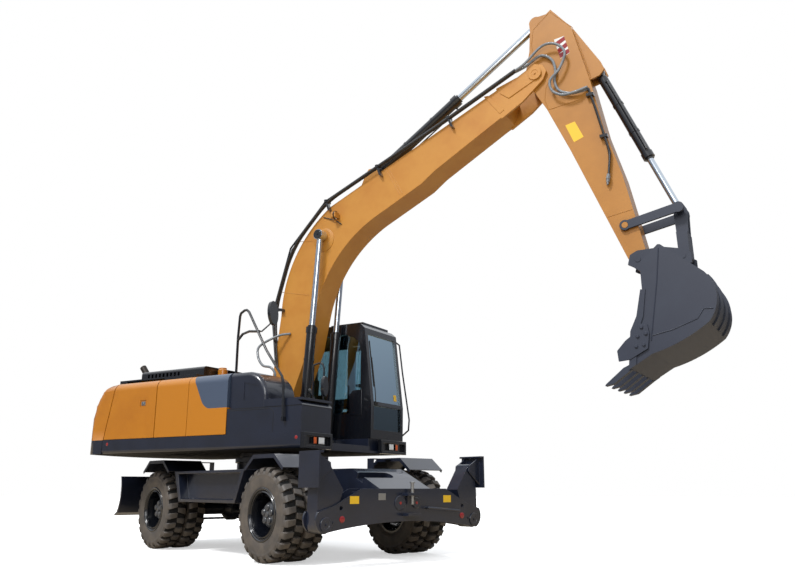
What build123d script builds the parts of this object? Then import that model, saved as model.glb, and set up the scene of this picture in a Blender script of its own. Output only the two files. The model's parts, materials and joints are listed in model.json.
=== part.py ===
from build123d import *
from math import atan2, cos, degrees, hypot, radians, sin, tan
import os

# A wheeled excavator on two axles with twin tyres, in millimetres, +Z up.
# +X points along the boom. The undercarriage stands turned under the swing ring,
# so each piece is first drawn in its own straight frame, with the swing axis at
# x = 0, y = 0 and the ground at z = 0, and is then put in its place.

# Place of the swing axis and turn of the undercarriage under it
swing_x = -1511.3
swing_y = 12.1
swing_angle = 18.21
upper_place = Location((swing_x, swing_y, 0))
under_place = Location((swing_x, swing_y, 0), (0, 0, -swing_angle))

# Running clearances
fit_gap = 0.3
side_gap = 1.0
move_gap = 6.0
panel_gap = 8.0

# Wheels and axles
wheelbase = 2850.0
drive_x = 1536.0
steer_x = drive_x - wheelbase
tyre_radius = 527.5
tyre_width = 264.0
twin_spacing = 292.0
tyre_outer_face = 1235.0
tread_half = 100.0
tyre_wall_radius = 400.0
groove_radius = 503.0
lug_count = 17
half_facet = 180.0 / (2 * lug_count)
lug_root = 2.0
rim_radius = 254.0
rim_wall = 14.0
flange_height = 20.0
hub_radius = 128.0
hub_z = tyre_radius
outer_tyre_y = tyre_outer_face - tyre_width / 2
inner_tyre_y = outer_tyre_y - twin_spacing
kingpin_y = 700.0
kingpin_radius = 30.0
axle_radius = 85.0
diff_radius = 172.0
diff_half = 60.0
steer_arm = 230.0
steer_ball_y = kingpin_y - 72.0
drive_hub_face = 745.0
steer_hub_face = 792.0

# Undercarriage frame
frame_half = 385.0
frame_top = 1040.0
frame_bottom = 740.0
frame_rear = -1950.0
ring_radius = 600.0
ring_bottom = 1150.0
deck_bottom = 1278.0

# Outrigger beam across the drive end, with its two swinging legs
beam_front = 2609.0
beam_plate = 25.0
leg_thick = 186.0
beam_rear = beam_front - 2 * beam_plate - 2 * move_gap - leg_thick
leg_pivot_y = 1113.0
leg_pivot_z = 450.0
leg_pin_radius = 32.0
pad_pin_y = 1110.0
pad_pin_z = 1045.0
pad_pin_radius = 26.0
pad_sole_y = 1262.0
pad_size = 370.0
leg_mid_x = beam_front - beam_plate - move_gap - leg_thick / 2
frame_front = beam_rear
beam_top = 812.0
beam_foot = 1150.0
beam_low = 362.0
beam_arch = 458.0
beam_hole = (917.0, 613.0)
beam_hole_radius = 22.0
lever_y = (300.0, 800.0)
tow_bore = 20.5
nose_opening = (500.0, 150.0)
nose_depth = 70.0
nose_x = 2100.0
nose_z = beam_top + (frame_top - beam_top) * (beam_front - frame_front) / (beam_front - nose_x)

nose_middle = (2270.0, -165.0, frame_top - (frame_top - beam_top) * (2270.0 - nose_x) / (beam_front - nose_x))

# Dozer blade at the steering end
blade_pivot_x = -1900.0
blade_pivot_z = 560.0
blade_half = 1230.0
blade_wall = 25.0
blade_ram_y = 290.0
blade_ram_base = (-2010.0, 940.0)
blade_ram_eye = (-2405.0, 620.0)

fender_lip_wall = 5.0

# Upper structure
half_width = 1264.0
deck_top = 1469.0
platform_front = 1359.0
deck_rear = -2195.0
tail_radius = 2780.0
body_top = 2262.0
hood_top = 2310.0
hood_front = -600.0
door_pin_x = -1206.0
door_pin_y = 1243.0
door_pin_radius = 8.0
door_front = -1194.0
hood_pin = (-584.0, 2290.0)
lid_pin = (712.0, 1890.0)
lid_bottom = 1790.0
precleaner_y = 520.0
cover_front = 700.0
cover_top = 2258.0
hinge_pin_radius = 5.0
hinge_radius = 9.0
cab_hinge_x = 322.0
cab_hinge_y = half_width + 13.0
cab_hinge_radius = 12.0
cab_hinge_pin = 6.0
cab_hinge_levels = (1750.0, 2700.0)
body_half = 1258.0
shoulder_z = 2140.0
shoulder_width = 115.0
shoulder_middle = (1226.0, 2228.0)
body_skin = 28.0
rake_x = -2020.0
tail_top = -2560.0
louvre_count = 9
louvre_pitch = 76.0

lamp_recess = 48.0
rail_radius = 17.0
rail_y = 1286.0

# Cab
cab_inner_y = 385.0
cab_rear_x = -450.0
cab_front_x = 1237.0
cab_top_front_x = 1120.0
cab_floor = 1475.0
cab_roof = 3110.0
cab_wall = 42.0
glass = 6.0

# Boom, arm and bucket pins as (x, z)
boom_foot = (81.0, 1875.0)
boom_nose = (4040.0, 5938.0)
boom_ram_base = (570.0, 1420.0)
boom_ram_eye = (785.0, 4290.0)
arm_ram_base = (1520.0, 5130.0)
arm_ram_eye = (4042.0, 6742.0)
bucket_pin = (5123.0, 3301.0)
bucket_ram_base = (4805.0, 5821.0)
link_pin = (5601.0, 3833.0)
idler_pin = (5011.0, 3723.0)
bucket_link_pin = (5602.0, 3270.0)
boom_back_low = (58.0, 3219.0)
boom_back_bend = (345.0, 4185.0)
boom_back_high = (882.0, 4732.0)
boom_belly_low = (671.0, 3233.0)
boom_belly_bend = (985.0, 3905.0)
boom_belly_high = (1607.0, 4425.0)
boom_half = 190.0
arm_half = 150.0
boom_ram_y = 290.0
boom_cheek = 20.0
bucket_half = 555.0
bucket_wall = 25.0
bucket_lip = (5031.0, 2020.0)
pin_radius = 42.0
arm_ram_ear = 84.0
bucket_ram_ear = 72.0
link_fork = 56.0
ear_thick = 30.0
boom_lamp = (1010.0, 4560.0)
pipe_radius = 13.0
pipe_clamps = ((-35, 3320, 0.98, 0.2), (840, 4810, 0.35, 0.94), (1700, 5160, 0.37, 0.93), (2817, 5615, 0.37, 0.93))
clamp_reach = 160.0
seat_gap = 0.5

# Sides of a pipe's drawn section
pipe_sides = 8

# Rams: rod radii, the tubes they slide in and where each rod starts in its tube
tube_gap = 4.0
tube_end = 45.0
gland_length = 50.0
blade_rod_radius = 27.0
boom_rod_radius = 42.0
arm_rod_radius = 46.0
bucket_rod_radius = 38.0
blade_tube = 400.0
boom_tube = 1575.0
arm_tube = 1622.0
bucket_tube = 1383.0
blade_rod_start = 100.0
boom_rod_start = 1355.0
arm_rod_start = 1302.0
bucket_rod_start = 829.0

os.makedirs("parts", exist_ok=True)


def save(piece, label, place):
    """Put a finished piece in its place, label it and write it."""
    solid = place * piece.part
    solid.label = label
    export_step(solid, f"parts/{label}.step")


def bar_y(x, y, z, radius, length, mode=Mode.ADD):
    """A round bar along Y, centred at x, y, z, in the part being built."""
    with Locations((x, y, z)):
        Cylinder(radius, length, rotation=(90, 0, 0), mode=mode)


def bar_x(x, y, z, radius, length, mode=Mode.ADD):
    """A round bar along X, centred at x, y, z, in the part being built."""
    with Locations((x, y, z)):
        Cylinder(radius, length, rotation=(0, 90, 0), mode=mode)


def bar_z(x, y, z, radius, length, mode=Mode.ADD):
    """A round bar upwards from x, y, z, in the part being built."""
    with Locations((x, y, z)):
        Cylinder(radius, length, align=(Align.CENTER, Align.CENTER, Align.MIN), mode=mode)


def block(x0, x1, y0, y1, z0, z1, mode=Mode.ADD):
    """A box between two corners, in the part being built."""
    with Locations(((x0 + x1) / 2, (y0 + y1) / 2, (z0 + z1) / 2)):
        Box(abs(x1 - x0), abs(y1 - y0), abs(z1 - z0), mode=mode)


def side_profile(points, y0, y1, mode=Mode.ADD):
    """A plate with an outline in X and Z, from y0 to y1, in the part being built."""
    with BuildSketch(Plane.XZ.offset(-y0)) as outline:
        with BuildLine():
            Polyline(points, close=True)
        make_face()
    extrude(outline.sketch, amount=-(y1 - y0), mode=mode)


def front_profile(points, x0, x1, mode=Mode.ADD):
    """A plate with an outline in Y and Z, from x0 to x1, in the part being built."""
    with BuildSketch(Plane.YZ.offset(x0)) as outline:
        with BuildLine():
            Polyline(points, close=True)
        make_face()
    extrude(outline.sketch, amount=x1 - x0, mode=mode)


def plan_profile(points, z0, z1, mode=Mode.ADD):
    """A plate with an outline in X and Y, from z0 to z1, in the part being built."""
    with BuildSketch(Plane.XY.offset(z0)) as outline:
        with BuildLine():
            Polyline(points, close=True)
        make_face()
    extrude(outline.sketch, amount=z1 - z0, mode=mode)


def ram_plane(base, eye, y):
    """A plane at a ram's base pin whose X runs towards the rod's eye."""
    angle = degrees(atan2(eye[1] - base[1], eye[0] - base[0]))
    return Plane((base[0], y, base[1]), x_dir=(cos(radians(angle)), 0, sin(radians(angle))), z_dir=(0, -1, 0))


def barrel(base, eye, y, radius, length, eye_radius, eye_width, bore, rod_radius):
    """A ram's barrel: a base eye, the hollow tube and its wider gland, in the part being built."""
    plane = ram_plane(base, eye, y)
    neck = min(radius * 0.8, eye_width / 2 - 2)
    hollow = rod_radius + tube_gap
    gland = rod_radius + fit_gap
    with BuildSketch(plane) as outline:
        with BuildLine():
            Polyline(
                (eye_radius * 0.5, 0),
                (eye_radius * 0.5, neck),
                (eye_radius + 12, neck),
                (eye_radius + 40, radius),
                (length - 1.6 * radius, radius),
                (length - 1.6 * radius, radius * 1.16),
                (length - 0.35 * radius, radius * 1.16),
                (length - 0.35 * radius, radius * 0.85),
                (length, radius * 0.85),
                (length, gland),
                (length - gland_length, gland),
                (length - gland_length, hollow),
                (eye_radius + tube_end, hollow),
                (eye_radius + tube_end, 0),
                close=True,
            )
        make_face()
    revolve(outline.sketch, axis=Axis(plane.origin, plane.x_dir))
    bar_y(base[0], y, base[1], eye_radius, eye_width)
    bar_y(base[0], y, base[1], bore, 3 * eye_width, Mode.SUBTRACT)


def rod(base, eye, y, radius, start, eye_radius, eye_width, bore):
    """A ram's rod from inside the gland to its eye, in the part being built."""
    plane = ram_plane(base, eye, y)
    reach = hypot(eye[0] - base[0], eye[1] - base[1])
    with BuildSketch(plane) as outline:
        with BuildLine():
            Polyline((start, 0), (start, radius), (reach, radius), (reach, 0), close=True)
        make_face()
    revolve(outline.sketch, axis=Axis(plane.origin, plane.x_dir))
    bar_y(eye[0], y, eye[1], eye_radius, eye_width)
    if bore:
        bar_y(eye[0], y, eye[1], bore, 3 * eye_width, Mode.SUBTRACT)


def tube(points, radius):
    """A pipe with mitred bends along hand-chosen points, in the part being built."""
    with BuildLine() as path:
        Polyline(*points)
    with BuildSketch(Plane(path.line @ 0, z_dir=path.line % 0)) as ring:
        RegularPolygon(radius, pipe_sides)
    sweep(ring.sketch, path=path.line, transition=Transition.RIGHT)


# Undercarriage frame: a box beam with a belly box, the swing pedestal and axle mounts
with BuildPart() as chassis:
    block(frame_rear, frame_front, -frame_half, frame_half, frame_bottom, frame_top)
    block(-700, 900, -300, 300, 575, frame_bottom)
    block(-1740, -1650, -330, 330, 450, frame_bottom)
    with Locations((0, 0, frame_top)):
        Cylinder(ring_radius, ring_bottom - frame_top, align=(Align.CENTER, Align.CENTER, Align.MIN))
    # Drive axle seats
    for x in (drive_x - 110, drive_x + 110):
        block(x - 40, x + 40, -300, 300, hub_z, frame_bottom)
    with Locations((drive_x, 0, hub_z)):
        Cylinder(diff_radius + 4, 2 * diff_half + 200, rotation=(90, 0, 0), mode=Mode.SUBTRACT)
        Cylinder(axle_radius + 10 + fit_gap, 2000, rotation=(90, 0, 0), mode=Mode.SUBTRACT)
    # Rocking axle hangers
    for x in (steer_x - 212, steer_x + 212):
        block(x - 12, x + 12, -110, 110, 470, frame_bottom)
        bar_x(x, 0, hub_z, 50 + fit_gap, 60, Mode.SUBTRACT)
    # Sloping nose down to the outrigger beam
    side_profile([(nose_x, frame_top + 10), (frame_front + 10, frame_top + 10), (frame_front + 10, nose_z),
                  (frame_front, nose_z), (nose_x, frame_top)], -frame_half, frame_half, Mode.SUBTRACT)
    # Oval opening in the sloping nose, over the beam
    slope = degrees(atan2(frame_top - beam_top, beam_front - nose_x))
    with BuildSketch(Plane(nose_middle, x_dir=(0, 1, 0), z_dir=(sin(radians(slope)), 0, cos(radians(slope))))):
        SlotOverall(*nose_opening)
    extrude(amount=-nose_depth, mode=Mode.SUBTRACT)
    # Blade ears
    for side in (-1, 1):
        block(blade_pivot_x - 60, blade_pivot_x + 60, side * 212, side * 252, 430, 620)
        block(frame_rear, -1740, side * 212, side * 252, 450, frame_bottom)
        for y in (blade_ram_y - 30 - seat_gap - 20, blade_ram_y + 30 + seat_gap):
            block(blade_ram_base[0] - 45, frame_rear, side * y, side * (y + 20), 905, 985)
        bar_y(blade_ram_base[0], side * blade_ram_y, blade_ram_base[1], 20, 100)
    bar_y(blade_pivot_x, 0, blade_pivot_z, 28 + fit_gap, 600, Mode.SUBTRACT)

save(chassis, "chassis_frame", under_place)

# Outrigger beam: two arched plates tied by a box, with the leg pins between them
def beam_face(x0, x1):
    """One of the beam's plates, arched below and sloping to its ends, in the part being built."""
    with BuildSketch(Plane.YZ.offset(x0)) as outline:
        with BuildLine():
            ThreePointArc((-beam_foot, beam_low), (0, beam_arch), (beam_foot, beam_low))
            for side in (-1, 1):
                ThreePointArc((side * beam_foot, beam_low), (side * 1235, 455), (side * 1215, 580))
                Polyline((side * 1215, 580), (side * 1000, 640), (side * 640, beam_top))
            Line((-640, beam_top), (640, beam_top))
        make_face()
        with Locations((-beam_hole[0], beam_hole[1]), beam_hole):
            Circle(beam_hole_radius, mode=Mode.SUBTRACT)
    extrude(outline.sketch, amount=x1 - x0)


with BuildPart() as beam:
    beam_face(beam_front - beam_plate, beam_front)
    beam_face(beam_rear, beam_rear + beam_plate)
    front_profile(
        [(-600, 480), (600, 480), (600, 780), (-600, 780)],
        beam_rear + beam_plate,
        beam_front - beam_plate,
    )
    for side in (-1, 1):
        bar_x((beam_rear + beam_front) / 2, side * leg_pivot_y, leg_pivot_z, leg_pin_radius, beam_front - beam_rear)
    # Tow jaw: two bored plates
    block(beam_front, beam_front + 100, -50, 150, 735, 765)
    block(beam_front, beam_front + 100, -50, 150, 515, 545)
    with Locations((beam_front + 55, 50, 640)):
        Cylinder(tow_bore, 290, mode=Mode.SUBTRACT)
    # Folding lever along the face of the beam
    tube([(beam_front - 2, lever_y[0], 600), (beam_front + 60, lever_y[0], 600), (beam_front + 60, lever_y[1], 560),
          (beam_front - 2, lever_y[1], 560)], 14)
    side_profile([(beam_rear, 770), (beam_rear, nose_z), (beam_front, beam_top), (beam_front, 770)],
                 -frame_half, frame_half)

save(beam, "outrigger_beam", under_place)

# Axles
def axle_housing(x, tube_radius, half_length, end_radius):
    """A tube along Y that swells round the differential and ends in flanges, in the part being built."""
    plane = Plane((x, 0, hub_z), x_dir=(0, 1, 0), z_dir=(1, 0, 0))
    with BuildSketch(plane) as outline:
        with BuildLine():
            Polyline(
                (-half_length, 0),
                (-half_length, end_radius),
                (-half_length + 50, end_radius),
                (-half_length + 50, tube_radius),
                (-diff_half - 90, tube_radius),
                (-diff_half, diff_radius),
                (diff_half, diff_radius),
                (diff_half + 90, tube_radius),
                (half_length - 50, tube_radius),
                (half_length - 50, end_radius),
                (half_length, end_radius),
                (half_length, 0),
                close=True,
            )
        make_face()
    revolve(outline.sketch, axis=Axis((x, 0, hub_z), (0, 1, 0)))


with BuildPart() as drive_axle:
    axle_housing(drive_x, axle_radius + 10, drive_hub_face - fit_gap, hub_radius)
    bar_x(drive_x - 180, 0, hub_z, 70, 160)

save(drive_axle, "drive_axle", under_place)

with BuildPart() as steering_axle:
    axle_housing(steer_x, axle_radius, kingpin_y - 55, axle_radius + 12)
    bar_x(steer_x, 0, hub_z, 50, 448)
    for side in (-1, 1):
        with Locations((steer_x, side * kingpin_y, hub_z)):
            Cylinder(62, 196)
            Cylinder(kingpin_radius + fit_gap, 400, mode=Mode.SUBTRACT)

save(steering_axle, "steering_axle", under_place)

for side, name in ((1, "left"), (-1, "right")):
    with BuildPart() as knuckle:
        for z in (hub_z + 98 + fit_gap + 16, hub_z - 98 - fit_gap - 16):
            block(steer_x - 62, steer_x + 62, side * (kingpin_y - 62), side * (steer_hub_face - 20), z - 16, z + 16)
        with Locations((steer_x, side * kingpin_y, hub_z)):
            Cylinder(kingpin_radius, 256)
        bar_y(steer_x, side * (steer_hub_face - fit_gap - 14), hub_z, 136, 28)
        # Steering arm back to the track rod
        arm_z = hub_z - 98 - fit_gap - 16
        plan_profile([(steer_x, side * (kingpin_y - 62)), (steer_x, side * (kingpin_y - 5)),
                      (steer_x - steer_arm, side * (steer_ball_y + 25)),
                      (steer_x - steer_arm, side * (steer_ball_y - 25))], arm_z - 16, arm_z + 16)
        with Locations((steer_x - steer_arm, side * steer_ball_y, arm_z)):
            Cylinder(36, 32)

    save(knuckle, f"knuckle_{name}", under_place)

with BuildPart() as track_rod:
    rod_z = hub_z - 98 - fit_gap - 32 - fit_gap - 18
    bar_y(steer_x - steer_arm, 0, rod_z, 16, 2 * steer_ball_y)
    for side in (-1, 1):
        with Locations((steer_x - steer_arm, side * steer_ball_y, rod_z)):
            Cylinder(34, 36)

save(track_rod, "track_rod", under_place)

with BuildPart() as drive_shaft:
    shaft_start = steer_x + 224 + fit_gap
    shaft_end = drive_x - 260 - fit_gap
    bar_x((shaft_start + shaft_end) / 2, 0, hub_z, 36, shaft_end - shaft_start)

save(drive_shaft, "drive_shaft", under_place)

# Wheels: twin rims on one hub, and their pair of tyres
flange_radius = rim_radius + flange_height
bead_half = 96.0


def wheel_half_profile(face):
    """Outline of a twin rim with its hub, as (distance from the centre line, radius)."""
    inner = rim_radius - rim_wall
    start = inner_tyre_y - bead_half - 10
    end = outer_tyre_y + bead_half + 10
    disc = (inner_tyre_y + outer_tyre_y) / 2
    return [
        (face, 0),
        (face, hub_radius),
        (disc - 14, hub_radius),
        (disc - 14, inner),
        (start, inner),
        (start, flange_radius),
        (start + 9, rim_radius),
        (end - 9, rim_radius),
        (end, flange_radius),
        (end, inner),
        (disc + 14, inner - 20),
        (disc + 14, hub_radius + 20),
        (disc + 150, hub_radius + 20),
        (disc + 178, hub_radius - 6),
        (disc + 190, hub_radius - 40),
        (disc + 190, 0),
    ]


def faceted_ring(x, y, section):
    """A ring of flat facets round the axle line, from a closed section of (across, radius) points."""
    rings = []
    for across, radius in section:
        corner = radius / cos(radians(half_facet))
        turns = [radians(90 + half_facet + 2 * half_facet * n) for n in range(2 * lug_count)]
        rings.append([(x + corner * cos(turn), y + across, hub_z + corner * sin(turn)) for turn in turns])
    facets = []
    for ring, following in zip(rings, rings[1:] + rings[:1]):
        for n in range(2 * lug_count):
            corners = [ring[n - 1], ring[n], following[n], following[n - 1]]
            facets.append(Face(Wire.make_polygon([Vector(*corner) for corner in corners], close=True)))
    add(Solid(Shell(facets)))


def lugged_tyre(x, y):
    """A tyre with two staggered rows of block lugs round its tread, in the part being built."""
    half = tyre_width / 2
    faceted_ring(x, y, [
        (-bead_half, rim_radius + fit_gap),
        (-half, tyre_wall_radius),
        (-tread_half, groove_radius),
        (tread_half, groove_radius),
        (half, tyre_wall_radius),
        (bead_half, rim_radius + fit_gap),
    ])
    for row in (-1, 1):
        lug_plane = Plane((x, y, hub_z), x_dir=(1, 0, 0), z_dir=(0, -1, 0))
        with BuildSketch(lug_plane) as lugs:
            with PolarLocations((groove_radius + tyre_radius - lug_root) / 2, lug_count, 90 + (row + 1) * half_facet):
                Rectangle(tyre_radius - groove_radius + lug_root, 2 * groove_radius * tan(radians(half_facet)))
        extrude(lugs.sketch, amount=-row * tread_half)


for axle, x, face in (("drive", drive_x, drive_hub_face), ("steer", steer_x, steer_hub_face)):
    for side, name in ((1, "left"), (-1, "right")):
        wheel_plane = Plane((x, 0, hub_z), x_dir=(0, side, 0), z_dir=(1, 0, 0))
        with BuildPart() as wheel:
            with BuildSketch(wheel_plane) as outline:
                with BuildLine():
                    Polyline(wheel_half_profile(face), close=True)
                make_face()
            revolve(outline.sketch, axis=Axis((x, 0, hub_z), (0, 1, 0)))

        save(wheel, f"wheel_{axle}_{name}", under_place)

        with BuildPart() as tyres:
            for y in (inner_tyre_y, outer_tyre_y):
                lugged_tyre(x, side * y)

        save(tyres, f"tyres_{axle}_{name}", under_place)

# Fenders over the twin wheels, each on a bracket from the frame
with BuildPart() as fenders:
    for x in (drive_x, steer_x):
        for side in (-1, 1):
            side_profile(
                [
                    (x - 412, 1036),
                    (x - 222, 1185),
                    (x + 222, 1185),
                    (x + 412, 1036),
                    (x + 418, 1044),
                    (x + 226, 1195),
                    (x - 226, 1195),
                    (x - 418, 1044),
                ],
                side * 660,
                side * tyre_outer_face,
            )
            for y in (660, tyre_outer_face - fender_lip_wall):
                side_profile([(x - 415, 1040), (x - 224, 1190), (x + 224, 1190), (x + 415, 1040), (x + 400, 1012),
                              (x + 214, 1150), (x - 214, 1150), (x - 400, 1012)],
                             side * y, side * (y + fender_lip_wall))
            block(x - 60, x + 60, side * (frame_half - 30), side * 700, 1173, 1185)
            block(x - 60, x + 60, side * (frame_half - 30), side * (frame_half - 18), frame_top, 1173)

save(fenders, "fenders", under_place)

# Step boxes between the wheels, open on their outer face
with BuildPart() as step_boxes:
    for side in (-1, 1):
        outer = side * 1220
        side_profile([(-740, 1035), (1095, 1035), (905, 640), (-572, 640)], side * 760, outer)
        side_profile([(-640, 1000), (1010, 1000), (870, 680), (-520, 680)], side * 1090, outer, Mode.SUBTRACT)
        for x in (-350, 650):
            block(x - 40, x + 40, side * frame_half, side * 760, 860, 940)

save(step_boxes, "step_boxes", under_place)

# Swing bearing between the two halves
with BuildPart() as swing_bearing:
    with Locations((0, 0, ring_bottom)):
        Cylinder(ring_radius + 25, 70, align=(Align.CENTER, Align.CENTER, Align.MIN))
        Cylinder(ring_radius - 40, deck_bottom - ring_bottom - fit_gap,
                 align=(Align.CENTER, Align.CENTER, Align.MIN))

save(swing_bearing, "swing_bearing", under_place)

# Outrigger legs and foot pads
for side, name in ((1, "left"), (-1, "right")):
    leg_x0 = leg_mid_x - leg_thick / 2
    leg_x1 = leg_mid_x + leg_thick / 2
    with BuildPart() as leg:
        leg_outline = [
            (leg_pivot_y + 93, leg_pivot_z),
            (1200, 800),
            (1165, 1075),
            (1060, 1075),
            (868, 800),
            (960, 560),
            (leg_pivot_y - 93, leg_pivot_z),
        ]
        front_profile([(side * y, z) for y, z in leg_outline], leg_x0, leg_x1)
        bar_x(leg_mid_x, side * leg_pivot_y, leg_pivot_z, 93, leg_thick)
        bar_x(leg_mid_x, side * pad_pin_y, pad_pin_z, 62, leg_thick)
        bar_x(leg_mid_x, side * leg_pivot_y, leg_pivot_z, leg_pin_radius + fit_gap, 2 * leg_thick, Mode.SUBTRACT)
        bar_x(leg_mid_x, side * pad_pin_y, pad_pin_z, pad_pin_radius + fit_gap, 2 * leg_thick, Mode.SUBTRACT)

    save(leg, f"outrigger_leg_{name}", under_place)

    with BuildPart() as pad:
        block(leg_mid_x - pad_size / 2, leg_mid_x + pad_size / 2, side * (pad_sole_y - 20), side * pad_sole_y, 822, 1202)
        block(leg_mid_x - pad_size / 2, leg_mid_x + pad_size / 2, side * (pad_sole_y - 60), side * pad_sole_y, 1180, 1202)
        cheek = [(pad_sole_y - 20, 860), (pad_sole_y - 20, 1190), (1130, 1120), (1060, 1085), (1050, 1020), (1100, 975)]
        for x0 in (leg_x0 - move_gap - 18, leg_x1 + move_gap):
            front_profile([(side * y, z) for y, z in cheek], x0, x0 + 18)
        bar_x(leg_mid_x, side * pad_pin_y, pad_pin_z, pad_pin_radius, leg_thick + 2 * move_gap + 36)

    save(pad, f"outrigger_pad_{name}", under_place)

# Dozer blade with its arms
with BuildPart() as blade:
    with BuildSketch(Plane.XZ.offset(-blade_half)) as outline:
        with BuildLine():
            front_top = (-2540.0, 988.0)
            front_bottom = (-2600.0, 470.0)
            ThreePointArc(front_top, (-2505, 720), front_bottom)
            Polyline(front_bottom, (-2690, 426), (-2676, 410), (-2560, 455))
            ThreePointArc((-2560, 455), (-2474, 720), (-2510, 988))
            Line((-2510, 988), front_top)
        make_face()
    extrude(outline.sketch, amount=2 * blade_half)
    for side in (-1, 1):
        side_profile(
            [(-2490, 700), (-2490, 540), (blade_pivot_x - 40, 500), (blade_pivot_x + 50, 530), (blade_pivot_x + 50, 600),
             (blade_pivot_x - 40, 620)],
            side * 170,
            side * 206,
        )
        bar_y(blade_pivot_x, side * 188, blade_pivot_z, 62, 36)
        bar_y(blade_pivot_x, side * 205, blade_pivot_z, 28, 90)
        for y in (blade_ram_y - 42, blade_ram_y + 42):
            side_profile(
                [(-2490, 680), (-2490, 560), (-2400, 575), (-2360, 620), (-2400, 665)],
                side * (y - 9),
                side * (y + 9),
            )

save(blade, "dozer_blade", under_place)

with BuildPart() as blade_barrels:
    for side in (-1, 1):
        barrel(blade_ram_base, blade_ram_eye, side * blade_ram_y, 48, blade_tube, 45, 60, 20 + fit_gap, blade_rod_radius)

save(blade_barrels, "blade_cylinder_barrels", under_place)

with BuildPart() as blade_rods:
    for side in (-1, 1):
        rod(blade_ram_base, blade_ram_eye, side * blade_ram_y, blade_rod_radius, blade_rod_start, 40, 60, 0)

save(blade_rods, "blade_cylinder_rods", under_place)

# Side sills of the revolving frame, with rounded lower edges
lamp_depth = 60.0
sill_inner_y = 1180.0
with BuildPart() as sills:
    for side in (-1, 1):
        front = platform_front - lamp_depth if side < 0 else cab_front_x - 30
        block(deck_rear, front, side * sill_inner_y, side * half_width, deck_bottom, deck_top)
    edges = sills.edges().filter_by(Axis.X).group_by(Axis.Z)[0].sort_by(Axis.Y)
    fillet([edges[0], edges[-1]], 45)

# Revolving frame: floor plate, sills, platform, boom cheeks and the ears of the boom rams
ram_lug = 2 * boom_ram_y - (boom_half + move_gap + boom_cheek)
plate_top = deck_bottom + 32
with BuildPart() as revolving_frame:
    add(sills.part)
    block(deck_rear - panel_gap, 1250, -sill_inner_y, sill_inner_y, deck_bottom, plate_top)
    block(110, platform_front - lamp_depth, -sill_inner_y, -640, plate_top, deck_top)
    block(900, 1250, -600, 340, plate_top, 1370)
    block(cab_rear_x, 1200, cab_inner_y, sill_inner_y, plate_top, cab_floor)
    for side in (-1, 1):
        inner = side * (boom_half + move_gap)
        outer = side * (boom_half + move_gap + boom_cheek)
        side_profile(
            [(-700, plate_top), (640, plate_top), (640, 1440), (590, 1495), (520, 1495), (300, 1600),
             (185, 1890), (81, 1990), (-40, 1930), (-250, 1600), (-700, 1450)],
            inner,
            outer,
        )
        bar_y(boom_foot[0], side * (boom_half + move_gap + 30), boom_foot[1], 95, 60)
        block(boom_ram_base[0] - 70, boom_ram_base[0] + 70, side * ram_lug, side * (ram_lug + 18),
              plate_top, 1495)
    bar_y(boom_ram_base[0], 0, boom_ram_base[1], 36, 2 * (ram_lug + 18))
    bar_y(boom_ram_base[0], 0, boom_ram_base[1], 60, 2 * (boom_half + move_gap), Mode.SUBTRACT)
    bar_y(boom_foot[0], 0, boom_foot[1], pin_radius, 2 * (boom_half + move_gap + 70))
    block(300, 330, -(boom_half + move_gap), boom_half + move_gap, plate_top, 1480)

    # Pivot pins of the two service doors
    for side in (-1, 1):
        with Locations((door_pin_x, side * door_pin_y, deck_top)):
            Cylinder(door_pin_radius, 46, align=(Align.CENTER, Align.CENTER, Align.MIN))

save(revolving_frame, "revolving_frame", upper_place)

def shoulder_line(side, inset):
    """The side of the body's cross-section from deck to roof with its rounded shoulder, set in by a skin."""
    Line((side * (body_half - inset), deck_top + 6), (side * (body_half - inset), shoulder_z))
    ThreePointArc(
        (side * (body_half - inset), shoulder_z),
        (side * (shoulder_middle[0] - 0.8 * inset), shoulder_middle[1] - 0.8 * inset),
        (side * (body_half - shoulder_width), body_top - inset),
    )


# Counterweight, raked at its front and rounded over its tail
with BuildPart() as counterweight:
    with BuildSketch(Plane.XY.offset(deck_bottom)) as outline:
        Circle(tail_radius)
        Rectangle(2 * tail_radius, 2 * half_width, mode=Mode.INTERSECT)
        with Locations((deck_rear - panel_gap, 0)):
            Rectangle(2 * tail_radius, 2 * tail_radius, align=(Align.MIN, Align.CENTER), mode=Mode.SUBTRACT)
    extrude(outline.sketch, amount=body_top - deck_bottom)
    fillet(counterweight.edges().filter_by(Axis.Z).filter_by(lambda e: e.center().X < deck_rear - 60), 160)
    with BuildSketch(Plane.YZ.offset(-tail_radius)) as section:
        with BuildLine():
            for side in (-1, 1):
                shoulder_line(side, 0)
                Polyline((side * body_half, deck_top + 6), (side * half_width, deck_top), (side * half_width, deck_bottom))
            Line((-half_width, deck_bottom), (half_width, deck_bottom))
            Line((-body_half + shoulder_width, body_top), (body_half - shoulder_width, body_top))
        make_face()
    extrude(section.sketch, amount=tail_radius, mode=Mode.INTERSECT)
    side_profile([(deck_rear - panel_gap, deck_bottom - 1), (deck_rear - panel_gap, deck_top),
                  (rake_x - panel_gap, body_top + 1), (0, body_top + 1), (0, deck_bottom - 1)],
                 -2 * half_width, 2 * half_width, Mode.SUBTRACT)
    with BuildSketch(Plane.XZ.offset(2 * half_width)) as tail:
        with BuildLine():
            ThreePointArc((-tail_radius, 1620), (-tail_radius + 50, 2000), (tail_top, body_top))
            Polyline((tail_top, body_top), (tail_top, body_top + 10), (-tail_radius - 10, body_top + 10),
                     (-tail_radius - 10, 1620), (-tail_radius, 1620))
        make_face()
    extrude(tail.sketch, amount=-4 * half_width, mode=Mode.SUBTRACT)

save(counterweight, "counterweight", upper_place)

with BuildPart() as engine:
    block(-2050, -1190, -420, 420, plate_top, 2180)

save(engine, "engine_block", upper_place)

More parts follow.
